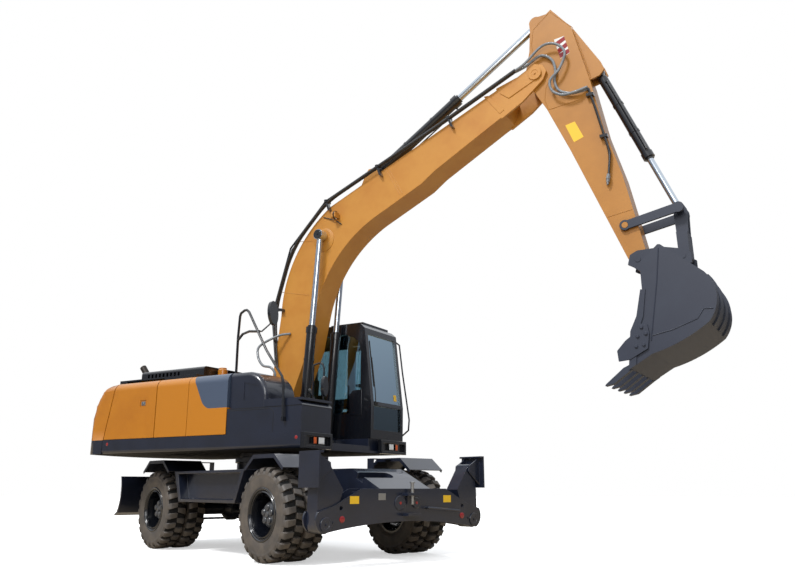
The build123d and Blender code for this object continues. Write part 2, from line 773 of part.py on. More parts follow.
# Tanks on the right side and the locker on the left, with the same shoulder as the doors
with BuildPart() as side_bodies:
    for side, x0, x1 in ((-1, -1180, -594), (-1, -586, 100), (1, -1180, cab_rear_x - 20)):
        with BuildSketch(Plane.YZ.offset(x0)) as section:
            with BuildLine():
                shoulder_line(side, 0)
                Polyline((side * (body_half - shoulder_width), body_top), (side * 420, body_top), (side * 420, plate_top),
                         (side * (sill_inner_y - side_gap), plate_top), (side * (sill_inner_y - side_gap), deck_top + 6),
                         (side * body_half, deck_top + 6))
            make_face()
        extrude(section.sketch, amount=x1 - x0)

    # Fixed halves of the engine hood's hinges
    for y in (-600, 600):
        for y0, y1 in ((y - 60, y - 40 - fit_gap), (y + 40 + fit_gap, y + 60)):
            block(hood_pin[0] - 4, hood_pin[0] + 30, y0, y1, body_top, hood_pin[1] - 4)
            bar_y(hood_pin[0], (y0 + y1) / 2, hood_pin[1], hinge_radius, y1 - y0)
            block(hood_pin[0] - 4, hood_pin[0] + 4, y0, y1, hood_pin[1] - 8, hood_pin[1])
        bar_y(hood_pin[0], y, hood_pin[1], hinge_pin_radius, 120)

save(side_bodies, "tanks_and_locker", upper_place)

# Bay wall and fixed top strips round the engine hood
with BuildPart() as bay:
    block(-1180, -1160, -419, 419, plate_top, body_top)
    block(-1160, -590, -419, 419, body_top - 20, body_top)
    block(rake_x, rake_x + 60, -1100, 1100, 2200, body_top)
    for y in (-1090, 1090):
        block(rake_x, rake_x + 20, y - 10, y + 10, plate_top, 2200)

save(bay, "engine_bay_frame", upper_place)

with BuildPart() as hood:
    block(-2100, hood_front, -1130, 1130, body_top + fit_gap, hood_top)
    block(-2040, -790, -800, 800, hood_top, 2480)
    fillet(hood.edges().filter_by(Axis.X).group_by(Axis.Z)[-1], 45)
    block(-1950, -1200, -1130, 1130, body_top, hood_top - 20, Mode.SUBTRACT)
    block(-1950, -1200, -780, 780, body_top, 2460, Mode.SUBTRACT)
    # Louvres along both sides of the raised cover
    for n in range(louvre_count):
        x = -1910 + n * louvre_pitch
        block(x, x + louvre_pitch / 2, -900, 900, 2340, 2430, Mode.SUBTRACT)
    for y in (-600, 600):
        block(hood_front, hood_pin[0], y - 40, y + 40, hood_pin[1] - 4, hood_pin[1] + 4)
        bar_y(hood_pin[0], y, hood_pin[1], hinge_radius, 80)
        bar_y(hood_pin[0], y, hood_pin[1], hinge_pin_radius + fit_gap, 80, Mode.SUBTRACT)

save(hood, "engine_hood", upper_place)

for side, name in ((1, "left"), (-1, "right")):
    with BuildPart() as door:
        with BuildSketch(Plane.YZ.offset(deck_rear + 7)) as section:
            with BuildLine():
                shoulder_line(side, 0)
                shoulder_line(side, body_skin)
                Line((side * (body_half - shoulder_width), body_top),
                     (side * (body_half - shoulder_width), body_top - body_skin))
                Line((side * body_half, deck_top + 6), (side * (body_half - body_skin), deck_top + 6))
            make_face()
        extrude(section.sketch, amount=door_front - deck_rear - 7)
        # Raked rear edge beside the counterweight, and the latch's recess
        side_profile([(deck_rear - 100, deck_top), (deck_rear + 7, deck_top), (rake_x + 7, body_top + 1),
                      (deck_rear - 100, body_top + 1)], side * 900, side * 1400, Mode.SUBTRACT)
        block(-1500, -1380, side * (body_half - 8), side * (body_half + 20), 1900, 1990, Mode.SUBTRACT)
        with Locations((door_pin_x, side * door_pin_y, deck_top)):
            Cylinder(door_pin_radius + fit_gap, 50, align=(Align.CENTER, Align.CENTER, Align.MIN), mode=Mode.SUBTRACT)

    save(door, f"service_door_{name}", upper_place)

with BuildPart() as tool_box:
    block(108, 1290, -1250, -640, deck_top, lid_bottom)
    with BuildSketch(Plane.XZ.offset(1215)) as outline:
        with BuildLine():
            Polyline((cover_front, lid_bottom), (118, lid_bottom), (118, cover_top), (400, cover_top))
            ThreePointArc((400, cover_top), (600, 2165), (cover_front, 1950))
            Line((cover_front, 1950), (cover_front, lid_bottom))
        make_face()
    extrude(outline.sketch, amount=-575)
    fillet(tool_box.edges().filter_by(Axis.X).group_by(Axis.Z)[-1].sort_by(Axis.Y)[0], 60)
    block(730, 1270, -1230, -660, deck_top + 20, lid_bottom + 10, Mode.SUBTRACT)
    # Recess in the side of the cover
    side_profile([(340, 1900), (340, 2120), (560, 2070), (610, 2000), (590, 1905)], -1300, -1207, Mode.SUBTRACT)
    # Fixed halves of the lid's hinges
    for y in (-1120, -760):
        for y0, y1 in ((y - 50, y - 30 - fit_gap), (y + 30 + fit_gap, y + 50)):
            block(cover_front, lid_pin[0], y0, y1, lid_pin[1] - 4, lid_pin[1] + 4)
            bar_y(lid_pin[0], (y0 + y1) / 2, lid_pin[1], hinge_radius, y1 - y0)
        bar_y(lid_pin[0], y, lid_pin[1], hinge_pin_radius, 100)

save(tool_box, "tool_box", upper_place)

with BuildPart() as tool_lid:
    with BuildSketch(Plane.XZ.offset(1256)) as outline:
        with BuildLine():
            Polyline((1302, lid_bottom + fit_gap), (712, lid_bottom + fit_gap), (712, 1880), (1150, 1852))
            ThreePointArc((1150, 1852), (1262, 1835), (1302, lid_bottom + fit_gap))
        make_face()
    extrude(outline.sketch, amount=-622)
    block(712, 1296, -1256, -634, 1850 + fit_gap, 1880)
    for y in (-1120, -760):
        block(lid_pin[0], lid_pin[0] + 20, y - 30, y + 30, 1878, lid_pin[1] - 4)
        bar_y(lid_pin[0], y, lid_pin[1], hinge_radius, 60)
        bar_y(lid_pin[0], y, lid_pin[1], hinge_pin_radius + fit_gap, 60, Mode.SUBTRACT)

save(tool_lid, "tool_box_lid", upper_place)

with BuildPart() as exhaust:
    bar_z(-2160, -600, body_top + fit_gap, 48, 230)
    with Locations(Location((-2160, -600, body_top + 215), (0, -40, 0))):
        Cylinder(48, 150, align=(Align.CENTER, Align.CENTER, Align.MIN))

save(exhaust, "exhaust_pipe", upper_place)

with BuildPart() as precleaner:
    with BuildSketch(Plane.XZ.offset(precleaner_y)) as outline:
        with BuildLine():
            Polyline((-700, hood_top), (-700, 2475), (-645, 2475), (-645, 2455), (-632, 2445), (-632, hood_top), close=True)
        make_face()
    revolve(outline.sketch, axis=Axis((-700, -precleaner_y, 0), (0, 0, 1)))

save(precleaner, "air_precleaner", upper_place)

# Cab shell, hollow, with its windows and doorway cut
cab_outer = [
    (cab_rear_x, cab_floor),
    (cab_front_x, cab_floor),
    (cab_front_x + 6, 1950),
    (cab_top_front_x, 3040),
    (1040, cab_roof),
    (cab_rear_x + 60, cab_roof),
    (cab_rear_x, 3040),
]
door_x0 = 330.0
door_x1 = 1120.0
with BuildPart() as cab:
    side_profile(cab_outer, cab_inner_y, half_width)
    fillet(cab.edges().filter_by(Axis.Y).group_by(Axis.Z)[-1], 40)
    block(470, 1030, cab_inner_y + 90, half_width - 90, cab_roof, cab_roof + 35)
    block(500, 1000, cab_inner_y + 130, half_width - 130, cab_roof + 20, cab_roof + 50, Mode.SUBTRACT)
    inner = [
        (cab_rear_x + cab_wall, cab_floor + 60),
        (cab_front_x - cab_wall, cab_floor + 60),
        (cab_front_x - cab_wall, 1950),
        (cab_top_front_x - cab_wall, 3010),
        (1030, cab_roof - cab_wall),
        (cab_rear_x + cab_wall, cab_roof - cab_wall),
    ]
    side_profile(inner, cab_inner_y + cab_wall, half_width - cab_wall, Mode.SUBTRACT)
    # Windscreen, side windows, rear window and doorway
    block(900, 1400, cab_inner_y + 70, half_width - 70, 1600, 1930, Mode.SUBTRACT)
    block(900, 1400, cab_inner_y + 70, half_width - 70, 1990, 2960, Mode.SUBTRACT)
    block(-300, 1060, cab_inner_y - 50, cab_inner_y + 80, 1830, 2960, Mode.SUBTRACT)
    block(-560, -300, cab_inner_y + 110, half_width - 110, 2200, 2930, Mode.SUBTRACT)
    block(-330, door_x0 - 60, half_width - 80, half_width + 50, 1950, 2930, Mode.SUBTRACT)
    block(door_x0, door_x1, half_width - 80, half_width + 50, cab_floor + 60, 2960, Mode.SUBTRACT)

    # Door hinges on the outside of the pillar
    for z in cab_hinge_levels:
        block(cab_hinge_x - 40, cab_hinge_x - 14, half_width, half_width + 8, z - 60, z + 60)
        for side in (-1, 1):
            block(cab_hinge_x - 14, cab_hinge_x, half_width, half_width + 8, z + side * (30 + fit_gap), z + side * 60)
            with Locations((cab_hinge_x, cab_hinge_y, z + side * (45 + fit_gap / 2))):
                Cylinder(cab_hinge_radius, 30 - fit_gap)
        with Locations((cab_hinge_x, cab_hinge_y, z)):
            Cylinder(cab_hinge_pin, 120)

save(cab, "cab_shell", upper_place)

with BuildPart() as cab_door:
    block(door_x0 + 8, door_x1 - 8, half_width - cab_wall, half_width, cab_floor + 68, 2952)
    block(door_x0 + 70, door_x1 - 70, half_width - 80, half_width + 50, 1900, 2880, Mode.SUBTRACT)
    block(door_x0 + 90, door_x1 - 90, half_width - 80, half_width + 50, 1620, 1840, Mode.SUBTRACT)

    block(door_x1 - 55, door_x1 - 20, half_width, half_width + 22, 1640, 1790)
    for z in cab_hinge_levels:
        block(cab_hinge_x, door_x0 + 42, half_width + side_gap, half_width + 8, z - 30, z + 30)
        block(door_x0 + 12, door_x0 + 42, half_width - 2, half_width + 2, z - 30, z + 30)
        with Locations((cab_hinge_x, cab_hinge_y, z)):
            Cylinder(cab_hinge_radius, 60)
            Cylinder(cab_hinge_pin + fit_gap, 60, mode=Mode.SUBTRACT)

save(cab_door, "cab_door", upper_place)

with BuildPart() as door_glass:
    block(door_x0 + 70.3, door_x1 - 70.3, half_width - 24, half_width - 18, 1900.3, 2879.7)
    block(door_x0 + 90.3, door_x1 - 90.3, half_width - 24, half_width - 18, 1620.3, 1839.7)

save(door_glass, "cab_door_glass", upper_place)

with BuildPart() as cab_glass:
    block(-299.7, 1059.7, cab_inner_y + 16, cab_inner_y + 22, 1830.3, 2959.7)
    block(cab_rear_x + 16, cab_rear_x + 22, cab_inner_y + 110.3, half_width - 110.3, 2200.3, 2929.7)
    block(-329.7, door_x0 - 60.3, half_width - 24, half_width - 18, 1950.3, 2929.7)
    block(cab_front_x - 26, cab_front_x - 20, cab_inner_y + 70.3, half_width - 70.3, 1600.3, 1929.7)
    lean = (cab_front_x + 6 - cab_top_front_x) / (3040 - 1950)
    pane_bottom = (cab_front_x + 6 - lean * (1990.3 - 1950), 1990.3)
    pane_top = (cab_front_x + 6 - lean * (2959.7 - 1950), 2959.7)
    side_profile(
        [(pane_bottom[0] - 26, pane_bottom[1]), (pane_bottom[0] - 20, pane_bottom[1]),
         (pane_top[0] - 20, pane_top[1]), (pane_top[0] - 26, pane_top[1])],
        cab_inner_y + 70.3,
        half_width - 70.3,
    )

save(cab_glass, "cab_glass", upper_place)

with BuildPart() as seat:
    block(-130, 360, 620, 1080, 1900, 2010)
    block(-230, -110, 620, 1080, 1960, 2650)

save(seat, "driver_seat", upper_place)

with BuildPart() as controls:
    block(-150, 300, 680, 1020, cab_floor + 60, 1900)
    for y in (520, 1120):
        block(-150, 420, y - 40, y + 40, 1980, 2130)
        block(-60, 60, y - 40, y + 40, cab_floor + 60, 1980)
        with Locations((380, y, 2130)):
            Cylinder(14, 160, align=(Align.CENTER, Align.CENTER, Align.MIN))
    with Locations((900, 850, cab_floor + 60)):
        Cylinder(40, 721, align=(Align.CENTER, Align.CENTER, Align.MIN))
    with Locations((900, 850, cab_floor + 781)):
        Cylinder(190, 25, align=(Align.CENTER, Align.CENTER, Align.MIN))
        Cylinder(165, 25, align=(Align.CENTER, Align.CENTER, Align.MIN), mode=Mode.SUBTRACT)
        Box(360, 30, 25, align=(Align.CENTER, Align.CENTER, Align.MIN))

save(controls, "cab_controls", upper_place)

# Boom: a bent box beam with a forked nose
with BuildPart() as boom:
    with BuildSketch(Plane.XZ.offset(boom_half)) as outline:
        with BuildLine():
            Polyline(boom_back_low, (-60, 2300), (-59, 1875), (60, 1740), (205, 1810), (560, 2700), boom_belly_low)
            ThreePointArc(boom_belly_low, boom_belly_bend, boom_belly_high)
            Polyline(boom_belly_high, (2369, 4777), (2577, 4924), (3506, 5424), (3610, 5470), (3700, 5780), (3500, 5850),
                     boom_back_high)
            ThreePointArc(boom_back_high, boom_back_bend, boom_back_low)
        make_face()
    extrude(outline.sketch, amount=-2 * boom_half)
    bar_y(boom_foot[0], 0, boom_foot[1], 140, 2 * boom_half)
    bar_y(boom_foot[0], 0, boom_foot[1], pin_radius + fit_gap, 3 * boom_half, Mode.SUBTRACT)
    # Forked nose either side of the arm
    for side in (-1, 1):
        side_profile(
            [(3560, 5430), (3860, 5600), (4140, 5830), (4190, 5940), (4140, 6040), (4040, 6080), (3800, 5960),
             (3500, 5880)],
            side * (arm_half + move_gap),
            side * boom_half,
        )
    bar_y(boom_nose[0], 0, boom_nose[1], 400, 2 * (arm_half + move_gap), Mode.SUBTRACT)
    bar_y(boom_nose[0], 0, boom_nose[1], pin_radius, 2 * boom_half + 20)
    # Cylinder boss and arm ram ears
    bar_y(boom_ram_eye[0], 0, boom_ram_eye[1], 110, 2 * (boom_half + 14))
    bar_y(boom_ram_eye[0], 0, boom_ram_eye[1], 62, 2 * (boom_ram_y - 60 - seat_gap))
    for side in (-1, 1):
        side_profile(
            [(1320, 4900), (1700, 5080), (1640, 5160), (1560, 5215), (1480, 5215), (1430, 5150)],
            side * arm_ram_ear,
            side * (arm_ram_ear + ear_thick),
        )
    bar_y(arm_ram_base[0], 0, arm_ram_base[1], 36, 2 * (arm_ram_ear + ear_thick))
    # Work lamp on its bracket
    block(boom_lamp[0] - 20, boom_lamp[0] + 20, -boom_half - 60, -boom_half, boom_lamp[1] - 70, boom_lamp[1] - 55)
    with BuildSketch(Plane((boom_lamp[0] - 35, -boom_half - 60, boom_lamp[1]), z_dir=(1, 0, 0))) as face:
        RectangleRounded(100, 120, 25)
    extrude(face.sketch, amount=70, taper=8)

save(boom, "boom", upper_place)

# Pressure pipes along the boom's right side, in their clamps
pipe_route = [(40, 2480), (-60, 3219), (230, 4185), (840, 4800), (1293, 4985), (2817, 5605), (3800, 6035)]
with BuildPart() as boom_pipes:
    for y, out in ((boom_half + 20, 0), (boom_half + 50, 14)):
        tube([(x - out / 2, -y, z + out) for x, z in pipe_route], pipe_radius)
    for x, z, along, down in pipe_clamps:
        reach = clamp_reach
        side_profile([(x - 20 * down, z + 20 * along), (x + 20 * down, z - 20 * along),
                      (x + 20 * down + reach * along, z - 20 * along - reach * down),
                      (x - 20 * down + reach * along, z + 20 * along - reach * down)],
                     -boom_half - 64, -boom_half - fit_gap)

save(boom_pipes, "boom_pipes", upper_place)

arm_outline = [
    (3900, 5870),
    (3960, 5790),
    (4160, 5420),
    (4421, 4816),
    (4665, 4201),
    (5010, 3330),
    (5120, 3230),
    (5210, 3300),
    (5208, 3419),
    (5116, 3877),
    (5021, 4352),
    (4853, 4963),
    (4724, 5664),
    (4530, 6484),
    (4276, 6819),
    (3985, 6600),
    (3965, 6300),
    (3900, 6000),
]
with BuildPart() as arm:
    side_profile(arm_outline, -arm_half, arm_half)
    # Slot that the arm ram's rod swings in
    side_profile([(3800, 6480), (4190, 6480), (4235, 6870), (3800, 6900)], -link_fork, link_fork, Mode.SUBTRACT)
    bar_y(boom_nose[0], 0, boom_nose[1], 140, 2 * arm_half)
    bar_y(boom_nose[0], 0, boom_nose[1], pin_radius + fit_gap, 3 * arm_half, Mode.SUBTRACT)
    # Ears for the arm ram and the bucket ram
    for side in (-1, 1):
        bar_y(arm_ram_eye[0], side * (link_fork + ear_thick / 2), arm_ram_eye[1], 85, ear_thick)
        side_profile(
            [(3970, 6560), (3959, 6730), (4080, 6816), (4276, 6819), (4400, 6600)],
            side * link_fork,
            side * (link_fork + ear_thick),
        )
        side_profile(
            [(4541, 6480), (4860, 5904), (4895, 5800), (4830, 5730), (4700, 5700), (4480, 6200)],
            side * bucket_ram_ear,
            side * (bucket_ram_ear + ear_thick),
        )
    bar_y(bucket_ram_base[0], 0, bucket_ram_base[1], 34, 2 * (bucket_ram_ear + ear_thick))
    bar_y(idler_pin[0], 0, idler_pin[1], 36, 2 * arm_half + 90)
    bar_y(bucket_pin[0], 0, bucket_pin[1], 85, 2 * arm_half)
    bar_y(bucket_pin[0], 0, bucket_pin[1], 34 + fit_gap, 3 * arm_half, Mode.SUBTRACT)

save(arm, "arm", upper_place)

with BuildPart() as bucket:
    with BuildSketch(Plane.XZ.offset(bucket_half)) as outline:
        with BuildLine():
            Polyline((5269, 2160), bucket_lip, (5082, 2413), (5156, 2564), (5218, 2850), (5216, 3100), (5240, 3170),
                     (5415, 3325), (5440, 3322), (5845, 2968))
            ThreePointArc((5845, 2968), (5945, 2690), (5850, 2440))
            ThreePointArc((5850, 2440), (5600, 2285), (5269, 2160))
        make_face()
    extrude(outline.sketch, amount=-2 * bucket_half)
    with BuildSketch(Plane.XZ.offset(bucket_half - bucket_wall)) as hollow:
        with BuildLine():
            Polyline((5262, 2185), (5020, 2045), (4900, 2035), (5000, 3130), (5225, 3130), (5425, 3296), (5825, 2948))
            ThreePointArc((5825, 2948), (5920, 2690), (5832, 2462))
            ThreePointArc((5832, 2462), (5592, 2310), (5262, 2185))
        make_face()
    extrude(hollow.sketch, amount=-2 * (bucket_half - bucket_wall), mode=Mode.SUBTRACT)
    # Side cutters and wear ribs
    for side in (-1, 1):
        side_profile([(5020, 2010), (5066, 2416), (5141, 2570), (5203, 2853), (5255, 2850), (5210, 2560), (5140, 2400),
                      (5100, 2060)], side * bucket_half, side * (bucket_half + 14))
    for y in (-330, 0, 330):
        with BuildSketch(Plane.XZ.offset(y + 30)) as rib:
            with BuildLine():
                ThreePointArc((5845, 2968), (5945, 2690), (5850, 2440))
                Line((5850, 2440), (5862, 2428))
                ThreePointArc((5862, 2428), (5962, 2690), (5860, 2982))
                Line((5860, 2982), (5845, 2968))
            make_face()
        extrude(rib.sketch, amount=-60)
    for side in (-1, 1):
        side_profile(
            [(5010, 3250), (5060, 3220), (5230, 3080), (5420, 3240), (5560, 3120), (5690, 3180), (5690, 3290),
             (5600, 3350), (5400, 3400), (5123, 3400), (5040, 3360)],
            side * (arm_half + move_gap),
            side * (arm_half + move_gap + 34),
        )
    bar_y(bucket_pin[0], 0, bucket_pin[1], 34, 2 * (arm_half + move_gap + 40))
    bar_y(bucket_link_pin[0], 0, bucket_link_pin[1], 34, 2 * (arm_half + move_gap + 40))
    for y in (-500, -250, 0, 250, 500):
        side_profile([(5040, 2015), (5040, 2075), (4960, 2040), (4765, 1880), (4755, 1862), (4850, 1880)], y - 42, y + 42)

save(bucket, "bucket", upper_place)

with BuildPart() as idlers:
    for side in (-1, 1):
        with BuildSketch(Plane.XZ.offset(-side * (arm_half + 10))) as outline:
            with Locations(idler_pin, link_pin):
                Circle(62)
        extrude(outline.sketch, amount=-side * 32)
        side_profile(
            [(5000, 3770), (5590, 3885), (5612, 3780), (5022, 3670)],
            side * (arm_half + 10),
            side * (arm_half + 42),
        )
        boss = arm_half + 10 - link_fork - ear_thick - seat_gap
        bar_y(link_pin[0], side * (arm_half + 10 - boss / 2), link_pin[1], 40, boss)
        bar_y(idler_pin[0], side * (arm_half + 26), idler_pin[1], 36 + fit_gap, 80, Mode.SUBTRACT)

save(idlers, "idler_links", upper_place)

with BuildPart() as bucket_link:
    for side in (-1, 1):
        side_profile(
            [(5530, 3833), (5560, 3900), (5640, 3900), (5675, 3833), (5665, 3400), (5552, 3400)],
            side * link_fork,
            side * (link_fork + ear_thick),
        )
    side_profile(
        [(5548, 3560), (5665, 3560), (5670, 3270), (5602, 3205), (5540, 3270), (5554, 3330)],
        -arm_half + 4,
        arm_half - 4,
    )
    bar_y(bucket_link_pin[0], 0, bucket_link_pin[1], 34 + fit_gap, 3 * arm_half, Mode.SUBTRACT)

save(bucket_link, "bucket_link", upper_place)

# Rams
boom_eye_width = 2 * (boom_ram_y - boom_half - move_gap - boom_cheek - seat_gap)
with BuildPart() as boom_barrels:
    for side in (-1, 1):
        barrel(boom_ram_base, boom_ram_eye, side * boom_ram_y, 68, boom_tube, 75, boom_eye_width, 36 + fit_gap,
               boom_rod_radius)

save(boom_barrels, "boom_cylinder_barrels", upper_place)

with BuildPart() as boom_rods:
    for side in (-1, 1):
        rod(boom_ram_base, boom_ram_eye, side * boom_ram_y, boom_rod_radius, boom_rod_start, 75, 120, 0)

save(boom_rods, "boom_cylinder_rods", upper_place)

with BuildPart() as arm_barrel:
    barrel(arm_ram_base, arm_ram_eye, 0, 72, arm_tube, 75, 2 * (arm_ram_ear - seat_gap), 36 + fit_gap, arm_rod_radius)

save(arm_barrel, "arm_cylinder_barrel", upper_place)

with BuildPart() as arm_rod:
    rod(arm_ram_base, arm_ram_eye, 0, arm_rod_radius, arm_rod_start, 72, 2 * (link_fork - seat_gap), 0)

save(arm_rod, "arm_cylinder_rod", upper_place)

with BuildPart() as bucket_barrel:
    barrel(bucket_ram_base, link_pin, 0, 60, bucket_tube, 66, 2 * (bucket_ram_ear - seat_gap), 34 + fit_gap,
           bucket_rod_radius)

save(bucket_barrel, "bucket_cylinder_barrel", upper_place)

with BuildPart() as bucket_rod:
    rod(bucket_ram_base, link_pin, 0, bucket_rod_radius, bucket_rod_start, 62, 2 * (link_fork - seat_gap), 0)

save(bucket_rod, "bucket_cylinder_rod", upper_place)

# Lamps in their open housings on the front of the platform
with BuildPart() as lamps:
    for front, y0, y1, white_y, amber_y in (
        (platform_front, -half_width + 2, -690, -905, -1035),
        (1250 + lamp_depth, 560, 1240, 839, 984),
    ):
        block(front - lamp_depth, front, y0, y1, deck_bottom, deck_top - 4)
        block(front - lamp_recess, front + 1, y0 + 40, y1 - 40, deck_bottom + 35, deck_top - 45, Mode.SUBTRACT)
        block(front - lamp_recess, front - 12, white_y - 60, white_y + 60, 1330, 1420)
        block(front - lamp_recess, front - 12, amber_y - 30, amber_y + 30, 1335, 1415)

save(lamps, "front_lamps", upper_place)

# Handrail over the tool box, with the right-hand mirror
with BuildPart() as handrails:
    tube([(1042, -rail_y, 1640), (1028, -rail_y, 2060), (1000, -rail_y, 2150), (740, -rail_y, 2488),
          (300, -1150, 3060), (255, -1145, 3092),
          (215, -1143, 3092), (152, -1140, 3060), (135, -1138, 3020), (112, -1130, 2737), (89, -1105, 2400),
          (89, -1105, body_top + fit_gap)], rail_radius)
    tube([(112, -1130, 2700), (200, -1140, 2775), (330, -1160, 2795), (520, -1180, 2772)], rail_radius)
    block(1025, 1060, -rail_y - 20, -1250 - fit_gap, 1600, 1650)

save(handrails, "handrails", upper_place)

with BuildPart() as mirrors:
    # Right-hand mirror on a bracket from the handrail
    tube([(520, -1180, 2772), (560, -1184.2, 2767.2), (640, -1130, 2860), (662, -1100, 2960)], 10)
    add(handrails.part, mode=Mode.SUBTRACT)
    with BuildSketch(Plane((640, -1100, 3010), x_dir=(0, 1, 0), z_dir=(1, 0, 0.1))) as face:
        Ellipse(85, 160)
    extrude(face.sketch, amount=45)
    # Front mirror on the platform before the boom
    tube([(1119, -575, 1370 + fit_gap), (1119, -575, 2330), (1090, -575, 2391), (1040, -575, 2400), (951, -575, 2380),
          (945, -575, 2300), (951, -575, 1370 + fit_gap)], 12)
    with BuildSketch(Plane((1110, -575, 2090), x_dir=(0, 1, 0), z_dir=(1, 0, 0))) as face:
        Ellipse(58, 130)
    extrude(face.sketch, amount=45)
    # Left-hand mirror bar in front of the cab
    tube([(1075, half_width + fit_gap, 2975), (1075, 1350, 2975), (1130, 1350, 2930), (1185, 1350, 2500),
          (1299, 1350, 1793), (1285, 1350, 1640), (1180, 1350, 1563), (1180, half_width + fit_gap, 1563)], 12)

save(mirrors, "mirrors", upper_place)

# Pipes down the back of the arm to the hammer coupling
with BuildPart() as arm_pipes:
    for y, out in ((arm_half + 20, 0), (arm_half + 50, 10)):
        tube([(4700 + out, -y, 5540), (4760 + out, -y, 5292), (4900 + out, -y, 4640), (4860 + out, -y, 4330)], 12)
    for x, z in ((4722, 5450), (4850, 4870)):
        block(x - 45, x + 45, -arm_half - 66, -arm_half - fit_gap, z - 18, z + 18)

save(arm_pipes, "arm_pipes", upper_place)
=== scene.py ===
# %% [markdown]
# # A wheeled excavator in the studio
#
# The machine stands on two axles with its boom raised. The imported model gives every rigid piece
# at its real size and place, one mesh for each. This file turns those meshes into painted
# steel, rubber and glass, and adds the small things that a maker fits last: tread, wheel
# nuts, hoses, weld seams, lamps, reflectors, a wiper and blank signs.
#
# Two local frames keep the numbers readable. The upper frame has its x along the boom and its
# origin on the ground under the swing ring. The lower frame is the same one turned with the
# wheels. Lengths are metres, and the points of a side view are given as (x, z).

# %% Load the frame and note its size
import json
import math

import bmesh
import bpy
from mathutils import Matrix, Vector


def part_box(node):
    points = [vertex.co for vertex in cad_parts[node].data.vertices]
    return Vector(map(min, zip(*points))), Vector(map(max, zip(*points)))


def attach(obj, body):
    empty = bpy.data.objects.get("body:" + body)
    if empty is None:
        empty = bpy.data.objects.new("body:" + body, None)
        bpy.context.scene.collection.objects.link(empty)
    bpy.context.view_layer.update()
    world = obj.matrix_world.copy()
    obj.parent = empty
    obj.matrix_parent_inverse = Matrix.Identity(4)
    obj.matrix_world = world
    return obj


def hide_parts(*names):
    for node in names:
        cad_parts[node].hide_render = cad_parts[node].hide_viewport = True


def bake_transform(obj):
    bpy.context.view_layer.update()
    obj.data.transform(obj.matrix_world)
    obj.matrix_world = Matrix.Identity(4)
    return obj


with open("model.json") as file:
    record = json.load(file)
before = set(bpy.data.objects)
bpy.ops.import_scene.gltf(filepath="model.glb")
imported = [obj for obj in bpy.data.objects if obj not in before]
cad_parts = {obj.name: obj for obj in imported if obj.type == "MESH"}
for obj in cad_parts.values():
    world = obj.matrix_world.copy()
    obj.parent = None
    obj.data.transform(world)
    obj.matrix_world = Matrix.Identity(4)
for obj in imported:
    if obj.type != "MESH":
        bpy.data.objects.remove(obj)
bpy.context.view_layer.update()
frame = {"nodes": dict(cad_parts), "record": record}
nodes = frame["nodes"]
behaviour = frame["record"]["behaviour"]
print(len(nodes), "nodes in the frame")

# %% [markdown]
# The swing ring's joint says where the upper body turns, and a wheel's spin axis says how far
# the lower body is turned under it. Each piece made here rides on one of the record's bodies.

# %% The two local frames
joints = {joint["name"]: joint for joint in behaviour["joints"]}
swing_pin = joints["swing"]["pos_m"]
SWING = Vector((swing_pin[0], swing_pin[1], 0.0))
wheel_axis = joints["wheel_drive_right_spin"]["axis"]
TURN = -math.atan2(wheel_axis[0], wheel_axis[1])
UPPER = Matrix.Translation(SWING)
UNDER = UPPER @ Matrix.Rotation(TURN, 4, "Z")
body_of = {node: body for body, held in behaviour["bodies"].items() for node in held}
print("swing axis at", tuple(round(v, 3) for v in SWING))
print("lower body turned by", round(math.degrees(TURN), 2), "degrees")

# %% [markdown]
# ## Colours and finishes
#
# Every finish is a small node tree in object coordinates, so its grain keeps its real size on
# every piece. One function turns a web colour to linear light, one adds a node and fills in
# its inputs, and two blend colours or shaders. An image would be simpler for one view, but it
# stretches on another.

# %% Node and colour helpers
def linear(code):
    """A web colour as linear light with full cover."""
    parts = [int(code[i:i + 2], 16) / 255 for i in (1, 3, 5)]
    return (*[p / 12.92 if p <= 0.04045 else ((p + 0.055) / 1.055) ** 2.4 for p in parts], 1.0)


def add_node(tree, kind, settings=None, **inputs):
    """Add a node, set its properties and fill its inputs with values or links."""
    node = tree.nodes.new(kind)
    for key, value in (settings or {}).items():
        setattr(node, key, value)
    for key, value in inputs.items():
        socket = node.inputs[key.replace("_", " ")]
        if isinstance(value, bpy.types.NodeSocket):
            tree.links.new(value, socket)
        else:
            socket.default_value = value
    return node


def new_finish(name):
    """An empty material with its output and its object coordinates."""
    material = bpy.data.materials.new(name)
    material.use_nodes = True
    tree = material.node_tree
    tree.nodes.clear()
    output = add_node(tree, "ShaderNodeOutputMaterial")
    place = add_node(tree, "ShaderNodeTexCoord").outputs["Object"]
    return material, tree, output, place


def mix_colours(tree, share, first, second):
    """The blend of two web colours by a share of the second."""
    mix = add_node(tree, "ShaderNodeMix", {"data_type": "RGBA"})
    tree.links.new(share, mix.inputs[0])
    mix.inputs[6].default_value = linear(first)
    mix.inputs[7].default_value = linear(second)
    return mix.outputs[2]


def mix_shaders(tree, share, first, second):
    """The blend of two shader nodes by a share of the second."""
    mix = add_node(tree, "ShaderNodeMixShader", Fac=share)
    tree.links.new(first.outputs[0], mix.inputs[1])
    tree.links.new(second.outputs[0], mix.inputs[2])
    return mix.outputs[0]


print("a mid grey is", round(linear("#808080")[0], 3), "in linear light")

# %% [markdown]
# Most real finishes are one coat over a fine grain: orange peel in enamel, pits in a casting,
# the mould's matt in rubber. So one function makes them all, from a colour, a gloss, a clear
# coat and the size and depth of the grain. A second colour drifts over the first in soft
# patches, because no big surface is quite even in daylight.

# %% One coat over a grain
COAT_ROUGHNESS = 0.08
DRIFT_FROM, DRIFT_TO = 0.42, 0.68
GRAIN_STRENGTH = 0.6


